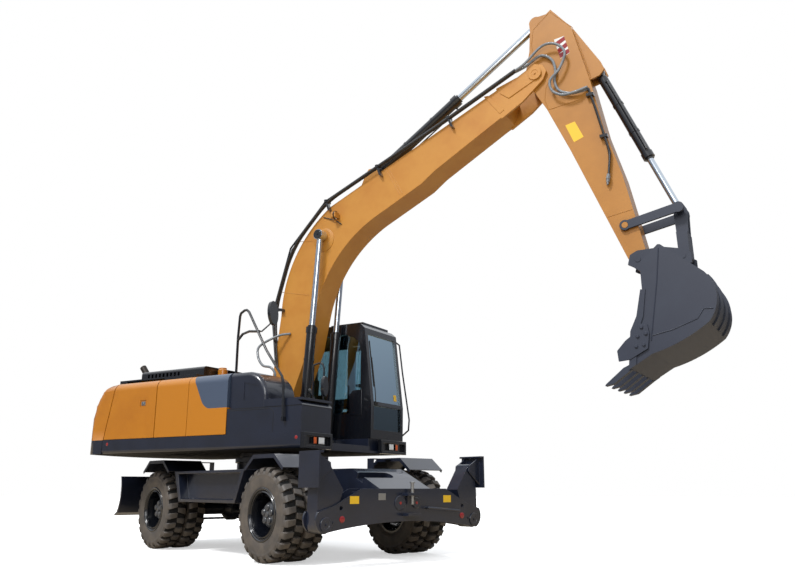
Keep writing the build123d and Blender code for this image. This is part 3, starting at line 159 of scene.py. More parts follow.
def plain(name, code, roughness, metallic=0.0, coat=0.0, grain_mm=0.0, grain_depth=0.0, drift="",
          drift_mm=400.0):
    """One coat of colour, drifting slightly to a second colour, over a fine grain."""
    material, tree, output, place = new_finish(name)
    shader = add_node(tree, "ShaderNodeBsdfPrincipled", Base_Color=linear(code), Roughness=roughness,
                      Metallic=metallic, Coat_Weight=coat, Coat_Roughness=COAT_ROUGHNESS)
    if drift:
        patches = add_node(tree, "ShaderNodeTexNoise", Vector=place, Scale=1000 / drift_mm, Detail=4.0,
                           Roughness=0.6)
        spread = add_node(tree, "ShaderNodeMapRange", Value=patches.outputs["Fac"], From_Min=DRIFT_FROM,
                          From_Max=DRIFT_TO)
        blend = mix_colours(tree, spread.outputs["Result"], code, drift)
        tree.links.new(blend, shader.inputs["Base Color"])
    if grain_mm:
        grain = add_node(tree, "ShaderNodeTexNoise", Vector=place, Scale=1000 / grain_mm, Detail=2.0)
        bump = add_node(tree, "ShaderNodeBump", Height=grain.outputs["Fac"], Strength=GRAIN_STRENGTH,
                        Distance=grain_depth / 1000)
        tree.links.new(bump.outputs["Normal"], shader.inputs["Normal"])
    tree.links.new(shader.outputs["BSDF"], output.inputs["Surface"])
    return material


print("finishes can be mixed")

# %% [markdown]
# The enamels come first. Sprayed enamel under a clear coat gives big panels their soft, broken
# reflections. The boom and the arm are duller; the boom's amber is paler as a painted sky
# reflection, and the arm's amber is a darker copy as painted shade. The bucket has lost its gloss
# to the soil. The faces that look at the ground are painted near black as painted shade.

# %% Enamels
PEEL = {"grain_mm": 9, "grain_depth": 0.04}
AMBER_CODE = "#B87410"
AMBER = plain("sprayed_amber_enamel", AMBER_CODE, 0.30, coat=0.6, drift="#B06C0C", **PEEL)
# The boom's amber is paler than the body's: a painted sky reflection on a duller coat.
PAINTED_SHEEN_AMBER = plain("amber_enamel_with_painted_sky_reflection", "#BC8230", 0.46, coat=0.2, drift="#B47726", **PEEL)
# The arm's amber is a darker copy of the same enamel: painted shade.
PAINTED_SHADE_AMBER = plain("amber_enamel_with_painted_shade", "#A97122", 0.44, coat=0.2, drift="#A0691B", **PEEL)
SLATE = plain("sprayed_slate_enamel", "#1A2030", 0.30, coat=0.6, drift="#161B28", **PEEL)
BLACK = plain("sprayed_black_enamel", "#0D1017", 0.24, coat=0.7, grain_mm=8, grain_depth=0.03,
              drift="#131519")
WORN = plain("scoured_slate_enamel", "#192134", 0.52, grain_mm=7, grain_depth=0.08, drift="#1E2739")
# Near black for the faces that look at the ground: painted shade on the undersides.
PAINTED_UNDERSIDE_SHADE = plain("matt_black_painted_underside_shade", "#0A0B0D", 0.95, grain_mm=6, grain_depth=0.2)
print(len(bpy.data.materials), "enamels")

# %% [markdown]
# Bare metal is told apart by its gloss: a rod of hard chrome mirrors the sky in one sharp line,
# turned steel has a softer one, and a casting under primer is nearly matt.

# %% Metals
HUB = plain("grey_primed_casting", "#3D4046", 0.34, coat=0.5, grain_mm=5, grain_depth=0.1)
CHROME = plain("hard_chromed_rod", "#C9D2DC", 0.18, metallic=1.0)
STEEL = plain("bare_turned_steel", "#A9ABAC", 0.34, metallic=1.0, grain_mm=3, grain_depth=0.03)
SOOT = plain("heat_stained_steel", "#3A3632", 0.55, metallic=0.6, grain_mm=6, grain_depth=0.1,
             drift="#2B2623")
IRON = plain("cast_engine_iron", "#4A4C4E", 0.6, metallic=0.5, grain_mm=4, grain_depth=0.3)
print(len(bpy.data.materials), "finishes so far")

# %% [markdown]
# Rubber and cloth swallow the light. The tread is dusty and brown, its grooves are nearly
# black, and a braided hose is grey, because its steel wire shows through.

# %% Rubber and cloth
TREAD = plain("moulded_tyre_rubber", "#4B4744", 0.55, coat=0.12, grain_mm=5, grain_depth=0.35,
              drift="#5E5750", drift_mm=160)
GROOVE = plain("tread_groove_rubber", "#0F0F10", 0.85, grain_mm=5, grain_depth=0.35)
HOSE = plain("braided_hose_rubber", "#6C7278", 0.5, coat=0.2, grain_mm=2, grain_depth=0.25, drift="#82888E",
             drift_mm=40)
SEAL = plain("pressed_black_rubber", "#101113", 0.7, grain_mm=3, grain_depth=0.1)
CLOTH = plain("woven_seat_cloth", "#24262B", 0.9, grain_mm=2.5, grain_depth=0.5, drift="#2E3138", drift_mm=90)
print(len(bpy.data.materials), "finishes so far")

# %% [markdown]
# Lenses are moulded plastic with a clear skin, so they shine brighter than paint. The signs are
# printed film, a little duller than the enamel that carries them.

# %% Lenses and films
RED = plain("moulded_red_reflector", "#8E1B1E", 0.2, coat=0.6, grain_mm=5, grain_depth=0.2)
ORANGE = plain("moulded_orange_lens", "#D9601E", 0.18, coat=0.6, grain_mm=5, grain_depth=0.2)
CLEAR = plain("moulded_clear_lens", "#E9ECEE", 0.12, coat=0.8, grain_mm=8, grain_depth=0.3)
SIGN = plain("printed_yellow_film", "#E3B71C", 0.45, coat=0.2)
PLATE = plain("printed_white_film", "#D8D9D6", 0.4, coat=0.2)
print(len(bpy.data.materials), "finishes so far")

# %% [markdown]
# A pane that bends light costs long renders and shows little more than a pane that lets it
# straight through. So the glass is a mix of a tinted, transparent body and a mirror, whose
# share grows towards a glance. The windscreen mirrors the sky far more than the side panes.

# %% Window glass
SIDE_MIRROR, SCREEN_MIRROR = 0.16, 0.66


def window_glass(name, least):
    """Tinted safety glass: its coating mirrors at least a share of the sky, and all of it at a glance."""
    material, tree, output, place = new_finish(name)
    body = add_node(tree, "ShaderNodeBsdfTransparent", Color=linear("#CFE2E8"))
    shine = add_node(tree, "ShaderNodeBsdfGlossy", Color=linear("#CDE7F6"), Roughness=0.03)
    edge = add_node(tree, "ShaderNodeFresnel", IOR=1.5)
    share = add_node(tree, "ShaderNodeMapRange", Value=edge.outputs["Fac"], To_Min=least, To_Max=1.0)
    tree.links.new(mix_shaders(tree, share.outputs["Result"], body, shine), output.inputs["Surface"])
    return material


GLASS = window_glass("tinted_safety_glass", SIDE_MIRROR)
WINDSCREEN = window_glass("coated_windscreen_glass", SCREEN_MIRROR)
print("two kinds of glass")

# %% [markdown]
# The tank panel is masked and sprayed in two colours: amber, with a slate wedge that leans
# forward and has a rounded lower corner. The mask is worked out from the place of each point,
# so its edge stays sharp from any distance, which a painted image wouldn't.

# %% Two-tone panel
WEDGE_CODE = "#435065"
WEDGE_LEAN, WEDGE_EDGE, WEDGE_FOOT, WEDGE_CORNER = 0.51, 0.631, 1.815, 0.10
RIGHT_OF = -0.9


def two_tone():
    """Amber enamel with the slate wedge on the right side of the body."""
    material, tree, output, place = new_finish("two_tone_panel_enamel")
    shader = add_node(tree, "ShaderNodeBsdfPrincipled", Roughness=0.36, Coat_Weight=0.45,
                      Coat_Roughness=COAT_ROUGHNESS)
    local = add_node(tree, "ShaderNodeVectorMath", {"operation": "SUBTRACT"})
    tree.links.new(place, local.inputs[0])
    local.inputs[1].default_value = (SWING.x, SWING.y, 0.0)
    axes = add_node(tree, "ShaderNodeSeparateXYZ", Vector=local.outputs[0])

    def calc(operation, a, b):
        """One step of arithmetic on links or numbers."""
        node = add_node(tree, "ShaderNodeMath", {"operation": operation})
        for socket, value in zip(node.inputs, (a, b)):
            if isinstance(value, bpy.types.NodeSocket):
                tree.links.new(value, socket)
            else:
                socket.default_value = value
        return node.outputs[0]

    lean = calc("MULTIPLY", axes.outputs["Z"], WEDGE_LEAN)
    from_edge = calc("SUBTRACT", calc("ADD", axes.outputs["X"], lean), WEDGE_EDGE)
    from_foot = calc("SUBTRACT", axes.outputs["Z"], WEDGE_FOOT)
    right_side = calc("LESS_THAN", axes.outputs["Y"], RIGHT_OF)
    inside = calc("MULTIPLY", calc("GREATER_THAN", from_edge, 0.0), calc("GREATER_THAN", from_foot, 0.0))
    short_x = calc("MAXIMUM", calc("SUBTRACT", WEDGE_CORNER, from_edge), 0.0)
    short_z = calc("MAXIMUM", calc("SUBTRACT", WEDGE_CORNER, from_foot), 0.0)
    reach = calc("ADD", calc("MULTIPLY", short_x, short_x), calc("MULTIPLY", short_z, short_z))
    round_corner = calc("LESS_THAN", reach, WEDGE_CORNER * WEDGE_CORNER)
    mask = calc("MULTIPLY", calc("MULTIPLY", inside, round_corner), right_side)
    tree.links.new(mix_colours(tree, mask, AMBER_CODE, WEDGE_CODE), shader.inputs["Base Color"])
    tree.links.new(shader.outputs["BSDF"], output.inputs["Surface"])
    return material


PANEL = two_tone()
print(len(bpy.data.materials), "finishes in all")

# %% [markdown]
# ## Shape helpers
#
# Small pieces are drawn into a bmesh in one of the two local frames. A box, a turned profile,
# a round bar, a bolt and a plate are enough for nearly all of them, and each is a few lines.

# %% Boxes, turned pieces and plates
def add_box(bm, lo, hi):
    """A box between two corners."""
    spots = [bm.verts.new((x, y, z)) for x in (lo[0], hi[0]) for y in (lo[1], hi[1]) for z in (lo[2], hi[2])]
    for face in ((0, 1, 3, 2), (4, 6, 7, 5), (0, 4, 5, 1), (2, 3, 7, 6), (0, 2, 6, 4), (1, 5, 7, 3)):
        bm.faces.new([spots[i] for i in face])


def circle(count):
    """The angles of evenly spaced points round a circle."""
    return [2 * math.pi * n / count for n in range(count)]


def add_lathe(bm, profile, start, axis, sides=48):
    """A turned piece: (distance along the axis, radius) points spun round the axis."""
    axis = Vector(axis).normalized()
    across = axis.orthogonal().normalized()
    other = axis.cross(across)
    rings = []
    for along, radius in profile:
        centre = Vector(start) + axis * along
        if radius < 1e-6:
            rings.append([bm.verts.new(centre)])
            continue
        spokes = [across * math.cos(t) + other * math.sin(t) for t in circle(sides)]
        rings.append([bm.verts.new(centre + spoke * radius) for spoke in spokes])
    for ring, following in zip(rings, rings[1:]):
        for n in range(sides):
            m = (n + 1) % sides
            corners = [ring[n % len(ring)], ring[m % len(ring)],
                       following[m % len(following)], following[n % len(following)]]
            unique = [c for i, c in enumerate(corners) if c not in corners[:i]]
            if len(unique) > 2:
                bm.faces.new(unique)


def add_bar(bm, start, end, radius, sides=24):
    """A round bar with flat ends between two points."""
    along = Vector(end) - Vector(start)
    add_lathe(bm, [(0, 0), (0, radius), (along.length, radius), (along.length, 0)], start, along, sides)


def add_bolt(bm, spot, axis, radius, height):
    """A hexagon bolt head on its washer."""
    washer, lift = radius * 1.35, height * 0.2
    add_lathe(bm, [(0, 0), (0, washer), (lift, washer), (lift, 0)], spot, axis, 16)
    add_lathe(bm, [(0, 0), (0, radius), (height, radius), (height, 0)], spot, axis, 6)


def add_plate(bm, points, y0, y1):
    """A plate with an outline in x and z between two places across."""
    near = [bm.verts.new((x, y0, z)) for x, z in points]
    far = [bm.verts.new((x, y1, z)) for x, z in points]
    bm.faces.new(near)
    bm.faces.new(far[::-1])
    for n in range(len(points)):
        m = (n + 1) % len(points)
        bm.faces.new([near[n], far[n], far[m], near[m]])


print("boxes, turned pieces and plates can be drawn")

# %% [markdown]
# Pipes and hoses follow a path. A bent steel pipe is straight runs with a round bend between
# them, and a free hose is one smooth line through a few points. The round section is carried
# along the path without twisting, or its facets would wind round the pipe like a screw.

# %% Paths and pipes
def rounded(points, radius, steps=6):
    """The same path with each inner corner turned into a smooth bend."""
    path = [Vector(points[0])]
    for before, corner, after in zip(points, points[1:], points[2:]):
        corner = Vector(corner)
        back, ahead = Vector(before) - corner, Vector(after) - corner
        reach = min(radius, back.length * 0.45, ahead.length * 0.45)
        a, b = corner + back.normalized() * reach, corner + ahead.normalized() * reach
        for n in range(steps + 1):
            t = n / steps
            path.append(a * (1 - t) ** 2 + corner * 2 * t * (1 - t) + b * t ** 2)
    path.append(Vector(points[-1]))
    return path


def spline(points, per=10):
    """A smooth line through all the given points."""
    pts = [Vector(p) for p in points]
    pts = [pts[0] * 2 - pts[1]] + pts + [pts[-1] * 2 - pts[-2]]
    line = []
    for a, b, c, d in zip(pts, pts[1:], pts[2:], pts[3:]):
        for n in range(per):
            t = n / per
            bend = (2 * a - 5 * b + 4 * c - d) * t * t + (3 * b - a - 3 * c + d) * t ** 3
            line.append(0.5 * (2 * b + (c - a) * t + bend))
    line.append(pts[-2])
    return line


def add_pipe(bm, path, radius, sides=14):
    """A round pipe that follows a path without twisting."""
    path = [Vector(p) for p in path]
    across = (path[1] - path[0]).normalized().orthogonal().normalized()
    rings = []
    for n, spot in enumerate(path):
        ahead = (path[min(n + 1, len(path) - 1)] - path[max(n - 1, 0)]).normalized()
        across = (across - ahead * across.dot(ahead)).normalized()
        other = ahead.cross(across)
        spokes = [across * math.cos(t) + other * math.sin(t) for t in circle(sides)]
        rings.append([bm.verts.new(spot + spoke * radius) for spoke in spokes])
    for ring, following in zip(rings, rings[1:]):
        for k in range(sides):
            m = (k + 1) % sides
            bm.faces.new([ring[k], ring[m], following[m], following[k]])
    bm.faces.new(rings[0][::-1])
    bm.faces.new(rings[-1])


print("a bend of 10 cm takes", len(rounded([(0, 0, 0), (1, 0, 0), (1, 1, 0)], 0.1)), "points")

# %% [markdown]
# One function turns a drawing into an object: it smooths the mesh up to a crease angle, gives
# it a finish and lets it ride on its body. With a bevel, the edges are rounded by a modifier,
# and weighted normals keep the flat faces flat right up to the rounding.

# %% Placing a piece
def add_object(name, data):
    """An object in the scene, at the origin."""
    obj = bpy.data.objects.new(name, data)
    bpy.context.scene.collection.objects.link(obj)
    return obj


def smooth(mesh, material):
    """Shade all faces of a mesh smoothly and give it one finish."""
    mesh.polygons.foreach_set("use_smooth", [True] * len(mesh.polygons))
    mesh.materials.clear()
    mesh.materials.append(material)


def dress_mesh(name, mesh, body, material, crease, bevel=0.0):
    """Give a mesh its object, its smooth shading, its finish and its body."""
    smooth(mesh, material)
    mesh.set_sharp_from_angle(angle=math.radians(crease))
    obj = add_object(name, mesh)
    if bevel:
        rounding = obj.modifiers.new("rounded_edges", "BEVEL")
        rounding.width = bevel
        rounding.segments = 2
        rounding.limit_method = "ANGLE"
        rounding.angle_limit = math.radians(crease)
        rounding.use_clamp_overlap = True
        even = obj.modifiers.new("even_normals", "WEIGHTED_NORMAL")
        even.keep_sharp = True
        even.weight = 80
    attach(obj, body)
    return obj


def as_mesh(name, bm, place=None, outward=True):
    """Turn a drawing into a mesh in its place, with its faces outward."""
    if outward:
        bmesh.ops.recalc_face_normals(bm, faces=bm.faces)
    mesh = bpy.data.meshes.new(name)
    bm.to_mesh(mesh)
    bm.free()
    if place:
        mesh.transform(place)
    return mesh


def place_piece(name, bm, place, body, material, crease=30, bevel=0.0):
    """Turn a drawing into an object in its place, riding on its body."""
    return dress_mesh(name, as_mesh(name, bm, place), body, material, crease, bevel)


def soften(node, material, bevel=0.005, keep_angle=32, shape=None):
    """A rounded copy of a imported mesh: welded, cleaned of flat seams and bevelled along its edges."""
    bm = bmesh.new()
    bm.from_mesh(nodes[node].data)
    bmesh.ops.remove_doubles(bm, verts=bm.verts, dist=0.00005)
    bmesh.ops.dissolve_limit(bm, angle_limit=math.radians(0.6), verts=bm.verts, edges=bm.edges)
    bm.transform(nodes[node].matrix_world)
    if shape:
        shape(bm)
    mesh = as_mesh(node + "_dressed", bm, outward=False)
    obj = dress_mesh(mesh.name, mesh, body_of[node], material, keep_angle, bevel)
    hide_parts(node)
    return obj


def paint_where(obj, material, test):
    """Give a second finish to the faces whose middle passes a test."""
    obj.data.materials.append(material)
    index = len(obj.data.materials) - 1
    for face in obj.data.polygons:
        if test(face.center, face.normal):
            face.material_index = index


print("pieces can be placed")

# %% [markdown]
# Whatever repeats round a wheel goes through one Geometry Nodes tree: a line of points in one
# spot, one instance of the drawn piece on each, and each instance turned a step further. A lug
# or a nut is then drawn once, and its number stays one input.

# %% The ring tree
RING = bpy.data.node_groups.new("ring_of_pieces", "GeometryNodeTree")
for name, way, kind in (("Geometry", "INPUT", "Geometry"), ("Count", "INPUT", "Int"),
                        ("Finish", "INPUT", "Material"), ("Geometry", "OUTPUT", "Geometry")):
    RING.interface.new_socket(name, in_out=way, socket_type="NodeSocket" + kind)
given = add_node(RING, "NodeGroupInput")
spots = add_node(RING, "GeometryNodeMeshLine", Count=given.outputs["Count"], Offset=(0.0, 0.0, 0.0))
index = add_node(RING, "GeometryNodeInputIndex")
step = add_node(RING, "ShaderNodeMath", {"operation": "DIVIDE"})
step.inputs[0].default_value = 2 * math.pi
RING.links.new(given.outputs["Count"], step.inputs[1])
turn = add_node(RING, "ShaderNodeMath", {"operation": "MULTIPLY"})
RING.links.new(index.outputs[0], turn.inputs[0])
RING.links.new(step.outputs[0], turn.inputs[1])
spin = add_node(RING, "ShaderNodeCombineXYZ", Y=turn.outputs[0])
placed = add_node(RING, "GeometryNodeInstanceOnPoints", Points=spots.outputs["Mesh"],
                  Instance=given.outputs["Geometry"], Rotation=spin.outputs[0])
solid = add_node(RING, "GeometryNodeRealizeInstances", Geometry=placed.outputs["Instances"])
painted = add_node(RING, "GeometryNodeSetMaterial", Geometry=solid.outputs["Geometry"],
                   Material=given.outputs["Finish"])
result = add_node(RING, "NodeGroupOutput")
RING.links.new(painted.outputs["Geometry"], result.inputs["Geometry"])
print(len(RING.nodes), "nodes in the ring tree")

# %% [markdown]
# The tree is a modifier on a seed object that holds the drawn piece, and its inputs are set
# through their identifiers. The result is then baked to a plain mesh, because only a plain
# mesh can ride on a body.

# %% Repeating a piece round an axle
def bake(obj):
    """Turn what an object's modifiers make into its own mesh."""
    bpy.context.view_layer.update()
    made = bpy.data.meshes.new_from_object(obj.evaluated_get(bpy.context.evaluated_depsgraph_get()))
    obj.modifiers.clear()
    obj.data = made
    return made


def ring_of(name, piece, count, place, body, material):
    """Repeat one drawn piece round the local y axis and bake the result."""
    seed = add_object(name + "_seed", as_mesh(name, piece))
    turner = seed.modifiers.new("ring", "NODES")
    turner.node_group = RING
    sockets = {item.name: item.identifier for item in RING.interface.items_tree if item.item_type == "SOCKET"}
    turner[sockets["Count"]] = count
    turner[sockets["Finish"]] = material
    baked = bake(seed)
    bpy.data.objects.remove(seed)
    baked.transform(place)
    return dress_mesh(name, baked, body, material, 30)


print("pieces can be repeated")

# %% [markdown]
# ## Painted steel
#
# Rolled and flame-cut plate never ends in a razor edge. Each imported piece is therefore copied,
# its flat seams dissolved, and its edges rounded by a few millimetres, which catches a thin
# line of light along every corner. The bevel width follows the size of the part.

# %% Amber pieces
def facing_down(c, n):
    """True for a face that looks at the ground."""
    return n.z < -0.9


# The boom's paler amber is a painted sky reflection, and the arm's darker amber is painted shade.
soften("boom", PAINTED_SHEEN_AMBER, 0.006)
soften("arm", PAINTED_SHADE_AMBER, 0.006)
soften("tanks_and_locker", PANEL, 0.008)
for node in ("service_door_left", "service_door_right"):
    soften(node, AMBER, 0.007)
soften("air_precleaner", AMBER, 0.004)
print("boom, arm, tanks and doors are amber")

# %% [markdown]
# The counterweight is one iron casting with a soft round tail, far rounder than a bevel can
# make it. So its copy is cut into slices, and each slice is drawn in to a reach that shrinks
# with its height. Its front wings lean like the doors before them, which leaves a narrow seam,
# and its foot is painted like the sill.

# %% Counterweight
SILL_TOP, BODY_TOP = 1.469, 2.262
SEAM_FOOT, SEAM_RAKE, SEAM_SLACK = -2.203, 0.175, 0.004
WING, WING_BLEND = 0.60, 0.01
TAIL_PROFILE = [(1.469, 2.790), (1.62, 2.775), (1.78, 2.750), (1.95, 2.705), (2.06, 2.655), (2.15, 2.595),
                (2.205, 2.535), (2.24, 2.480), (2.262, 2.410)]
EXTRA_HEIGHTS = [2.00, 2.105, 2.18]
REAR_CUTS, REAR_START, REAR_STEP = 8, -2.52, 0.04


def tail_radius(z):
    """How far the tail reaches from the swing axis at a height."""
    for (z0, r0), (z1, r1) in zip(TAIL_PROFILE, TAIL_PROFILE[1:]):
        if z <= z1:
            return r0 + (r1 - r0) * max(0.0, z - z0) / (z1 - z0)
    return TAIL_PROFILE[-1][1]


def slice_at(bm, spot, normal):
    """Add an edge loop where a plane crosses the drawing."""
    bmesh.ops.bisect_plane(bm, geom=bm.verts[:] + bm.edges[:] + bm.faces[:], plane_co=spot, plane_no=normal)


def round_tail(bm):
    """Mark the sill's colour line, round the tail in over its top, and rake the front beside the doors."""
    for height in [z for z, r in TAIL_PROFILE[:-1]] + EXTRA_HEIGHTS:
        slice_at(bm, (0, 0, height), (0, 0, 1))
    for step in range(REAR_CUTS):
        slice_at(bm, (SWING.x + REAR_START + REAR_STEP * step, 0, 0), (1, 0, 0))
    for across in (-WING - WING_BLEND, -WING, WING, WING + WING_BLEND):
        slice_at(bm, (0, SWING.y + across, 0), (0, 1, 0))
    for vert in bm.verts:
        x, y, z = vert.co.x - SWING.x, vert.co.y - SWING.y, vert.co.z
        if z < SILL_TOP:
            continue
        if x > SEAM_FOOT - SEAM_SLACK and abs(y) > WING + WING_BLEND / 2:
            vert.co.x += SEAM_RAKE * (z - SILL_TOP) / (BODY_TOP - SILL_TOP)
            continue
        reach = math.hypot(x, y)
        over = max(0.0, reach - tail_radius(z))
        vert.co.x -= x * over / reach
        vert.co.y -= y * over / reach


weight = soften("counterweight", AMBER, 0.0, keep_angle=40, shape=round_tail)
paint_where(weight, SLATE, lambda c, n: c.z < SILL_TOP)
# Faces that look at the ground are painted near black: painted shade.
paint_where(weight, PAINTED_UNDERSIDE_SHADE, facing_down)
print(len(weight.data.polygons), "faces on the counterweight")

# %% [markdown]
# Frame, axles, blade and outriggers share the dark slate enamel. The faces of the deck that
# look at the ground are painted near black as painted shade, and from a low camera that
# underside is what one sees. The bucket and its links are worn dull by the soil.

# %% Slate pieces
# The faces of these pieces that look at the ground are painted near black: painted shade.
for node in ("revolving_frame", "tool_box", "tool_box_lid"):
    paint_where(soften(node, SLATE, 0.006), PAINTED_UNDERSIDE_SHADE, facing_down)
for node in ("chassis_frame", "outrigger_beam", "outrigger_leg_left", "outrigger_leg_right", "fenders",
             "outrigger_pad_left", "outrigger_pad_right", "drive_axle", "steering_axle", "knuckle_left",
             "knuckle_right", "track_rod", "drive_shaft", "step_boxes", "dozer_blade", "swing_bearing"):
    soften(node, SLATE, 0.005)
for node in ("bucket", "idler_links", "bucket_link"):
    soften(node, WORN, 0.005)
print("slate pieces done")

# %% [markdown]
# The cab, the hood and the barrels are black, and a rod is hard chrome. The exhaust and the
# engine are never painted to look good: one is stained by heat, and the other is cast iron.

# %% Black, chrome and the engine
for ram, mark in (("boom", "s"), ("arm", ""), ("bucket", ""), ("blade", "s")):
    soften(f"{ram}_cylinder_barrel{mark}", BLACK, 0.003)
    soften(f"{ram}_cylinder_rod{mark}", CHROME, 0.002)
for node in ("cab_shell", "cab_door", "engine_bay_frame", "cab_controls", "mirrors", "handrails",
             "front_lamps"):
    soften(node, BLACK, 0.004)
for node in ("boom_pipes", "arm_pipes"):
    soften(node, BLACK, 0.002)
soften("engine_hood", BLACK, 0.006)
soften("exhaust_pipe", SOOT, 0.003)
soften("engine_block", IRON, 0.01)
print("black and bare pieces done")

# %% [markdown]
# A wheel is a black rim on a grey hub casting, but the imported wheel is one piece. The faces of
# the hub are found by their distance from the axle line, so no second mesh is needed.

# %% Wheels
HUB_RADIUS, HUB_FACE = 0.15, 0.975
for node in ("wheel_drive_left", "wheel_drive_right", "wheel_steer_left", "wheel_steer_right"):
    wheel = soften(node, BLACK, 0.003)
    middle, axis = Vector(joints[node + "_spin"]["pos_m"]), Vector(joints[node + "_spin"]["axis"])

    def on_hub(c, n):
        """True for a face close to the axle line and outboard of the disc."""
        across = (c - middle) - axis * (c - middle).dot(axis)
        return across.length < HUB_RADIUS and abs((c - SWING).dot(axis)) > HUB_FACE

    paint_where(wheel, HUB, on_hub)
print("four rims with their hubs")

# %% [markdown]
# The panes stay as packed, because the edge of a pane is hidden in its seal. Only the upper
# windscreen has the mirroring coat, and it ends at a bar across the front of the cab.

# %% Glass
SCREEN_BAR = 2.0
CAB_FRONT = 1.0
for node in ("cab_glass", "cab_door_glass"):
    nodes[node].data.materials.clear()
    nodes[node].data.materials.append(GLASS)
windows = nodes["cab_glass"]
windows.data.materials.append(WINDSCREEN)
for face in windows.data.polygons:
    middle = windows.matrix_world @ face.center
    if middle.x - SWING.x > CAB_FRONT and middle.z > SCREEN_BAR:
        face.material_index = 1
print("all packed pieces have a finish")

# %% [markdown]
# ## Tyres
#
# Each wheel carries a pair of cross-ply tyres. The casing is turned from a profile with the
# bead, the bulged wall, a raised guard ring and the crown. The tread is one block lug, drawn
# in five sections that lean back towards the shoulder and fold over it.

# %% Casing and lug
AXLE_HEIGHT = 0.5275
OUTER_TYRE, INNER_TYRE = 1.103, 0.811
DRIVE_X, STEER_X = 1.536, -1.314
LUGS, LUG_BEVEL = 24, 0.003
CROWN_RADIUS, LUG_ARC, LUG_FOOT, SHOULDER = 0.481, 0.51, 0.488, 0.11
CASING = [(0.096, 0.2565), (0.110, 0.268), (0.121, 0.300), (0.1245, 0.306), (0.1265, 0.316), (0.1315, 0.360),
          (0.1318, 0.405), (0.1298, 0.432), (0.1314, 0.437), (0.1312, 0.446), (0.1275, 0.452), (0.121, 0.478),
          (0.108, 0.488), (0.06, 0.492), (0.0, 0.493)]
# Place across the tread, top radius, half width, and how far the section lags behind the first.
LUG_SECTIONS = [(0.005, 0.5252, 0.030, 0.000), (0.055, 0.5252, 0.032, 0.008), (0.100, 0.5215, 0.037, 0.017),
                (0.122, 0.504, 0.037, 0.021), (0.1305, 0.468, 0.031, 0.022)]


def casing(bm, across):
    """One tyre casing round the local y axis."""
    half = [(across + y, r) for y, r in CASING]
    other = [(across - y, r) for y, r in CASING[:-1]]
    add_lathe(bm, half + other[::-1], (0, 0, 0), (0, 1, 0), 72)


def lug(bm, across, side):
    """One block lug from the middle of the tread to over the shoulder."""
    rings = []
    for y, top, half, lag in LUG_SECTIONS:
        foot, wide = LUG_FOOT if y < SHOULDER else top - 0.02, half * 1.1
        ring = []
        for arc, radius in ((lag - wide, foot), (lag - half, top), (lag + half, top), (lag + wide, foot)):
            angle = arc / LUG_ARC
            ring.append(bm.verts.new((radius * math.sin(angle), across + side * y, radius * math.cos(angle))))
        rings.append(ring)
    for ring, following in zip(rings, rings[1:]):
        for n in range(4):
            bm.faces.new([ring[n], ring[(n + 1) % 4], following[(n + 1) % 4], following[n]])
    bm.faces.new(rings[0][::-1])
    bm.faces.new(rings[-1])


def bevel_all(bm, width):
    """Round the sharp edges of a drawn piece."""
    sharp = [e for e in bm.edges if len(e.link_faces) == 2 and e.calc_face_angle(0) > 0.5]
    bmesh.ops.bevel(bm, geom=sharp, offset=width, segments=1, affect="EDGES")


print(LUGS, "lugs in each row of tread")

# %% [markdown]
# The lugs stand in two rows, and the second is turned by half a step, as the blocks of such a
# tread interlock. Both tyres of a pair are drawn at once, since they turn on one hub. The
# casing is darker between its shoulders, where the grooves hold dirt and shade.

# %% Tyres on their wheels
WHEELS = [(f"{axle}_{hand}", side, UNDER @ Matrix.Translation((along, 0, AXLE_HEIGHT)))
          for axle, along in (("drive", DRIVE_X), ("steer", STEER_X))
          for side, hand in ((1, "left"), (-1, "right"))]
for wheel, side, place in WHEELS:
    pair = (side * OUTER_TYRE, side * INNER_TYRE)
    to_axle = place.inverted()

    def on_crown(c, n):
        """True for a face between the shoulders, where the lugs stand."""
        local = to_axle @ c
        return math.hypot(local.x, local.z) > CROWN_RADIUS

    bm = bmesh.new()
    for across in pair:
        casing(bm, across)
    tyre = place_piece(f"tyre_casings_{wheel}", bm, place, f"wheel_{wheel}", TREAD, 40)
    paint_where(tyre, GROOVE, on_crown)
    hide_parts(f"tyres_{wheel}")
    for row, way, shift in (("a", 1, 0.0), ("b", -1, math.pi / LUGS)):
        bm = bmesh.new()
        for across in pair:
            lug(bm, across, way)
        bmesh.ops.recalc_face_normals(bm, faces=bm.faces)
        bevel_all(bm, LUG_BEVEL)
        turned = place @ Matrix.Rotation(shift, 4, "Y")
        ring_of(f"tread_rows_{row}_{wheel}", bm, LUGS, turned, f"wheel_{wheel}", TREAD)
print("tyres done")

# %% [markdown]
# The rim is a disc with ten nuts on its circle and a split lock ring that holds the bead. The
# hub's planetary gear shows as five round bosses and a plug, all turned profiles.

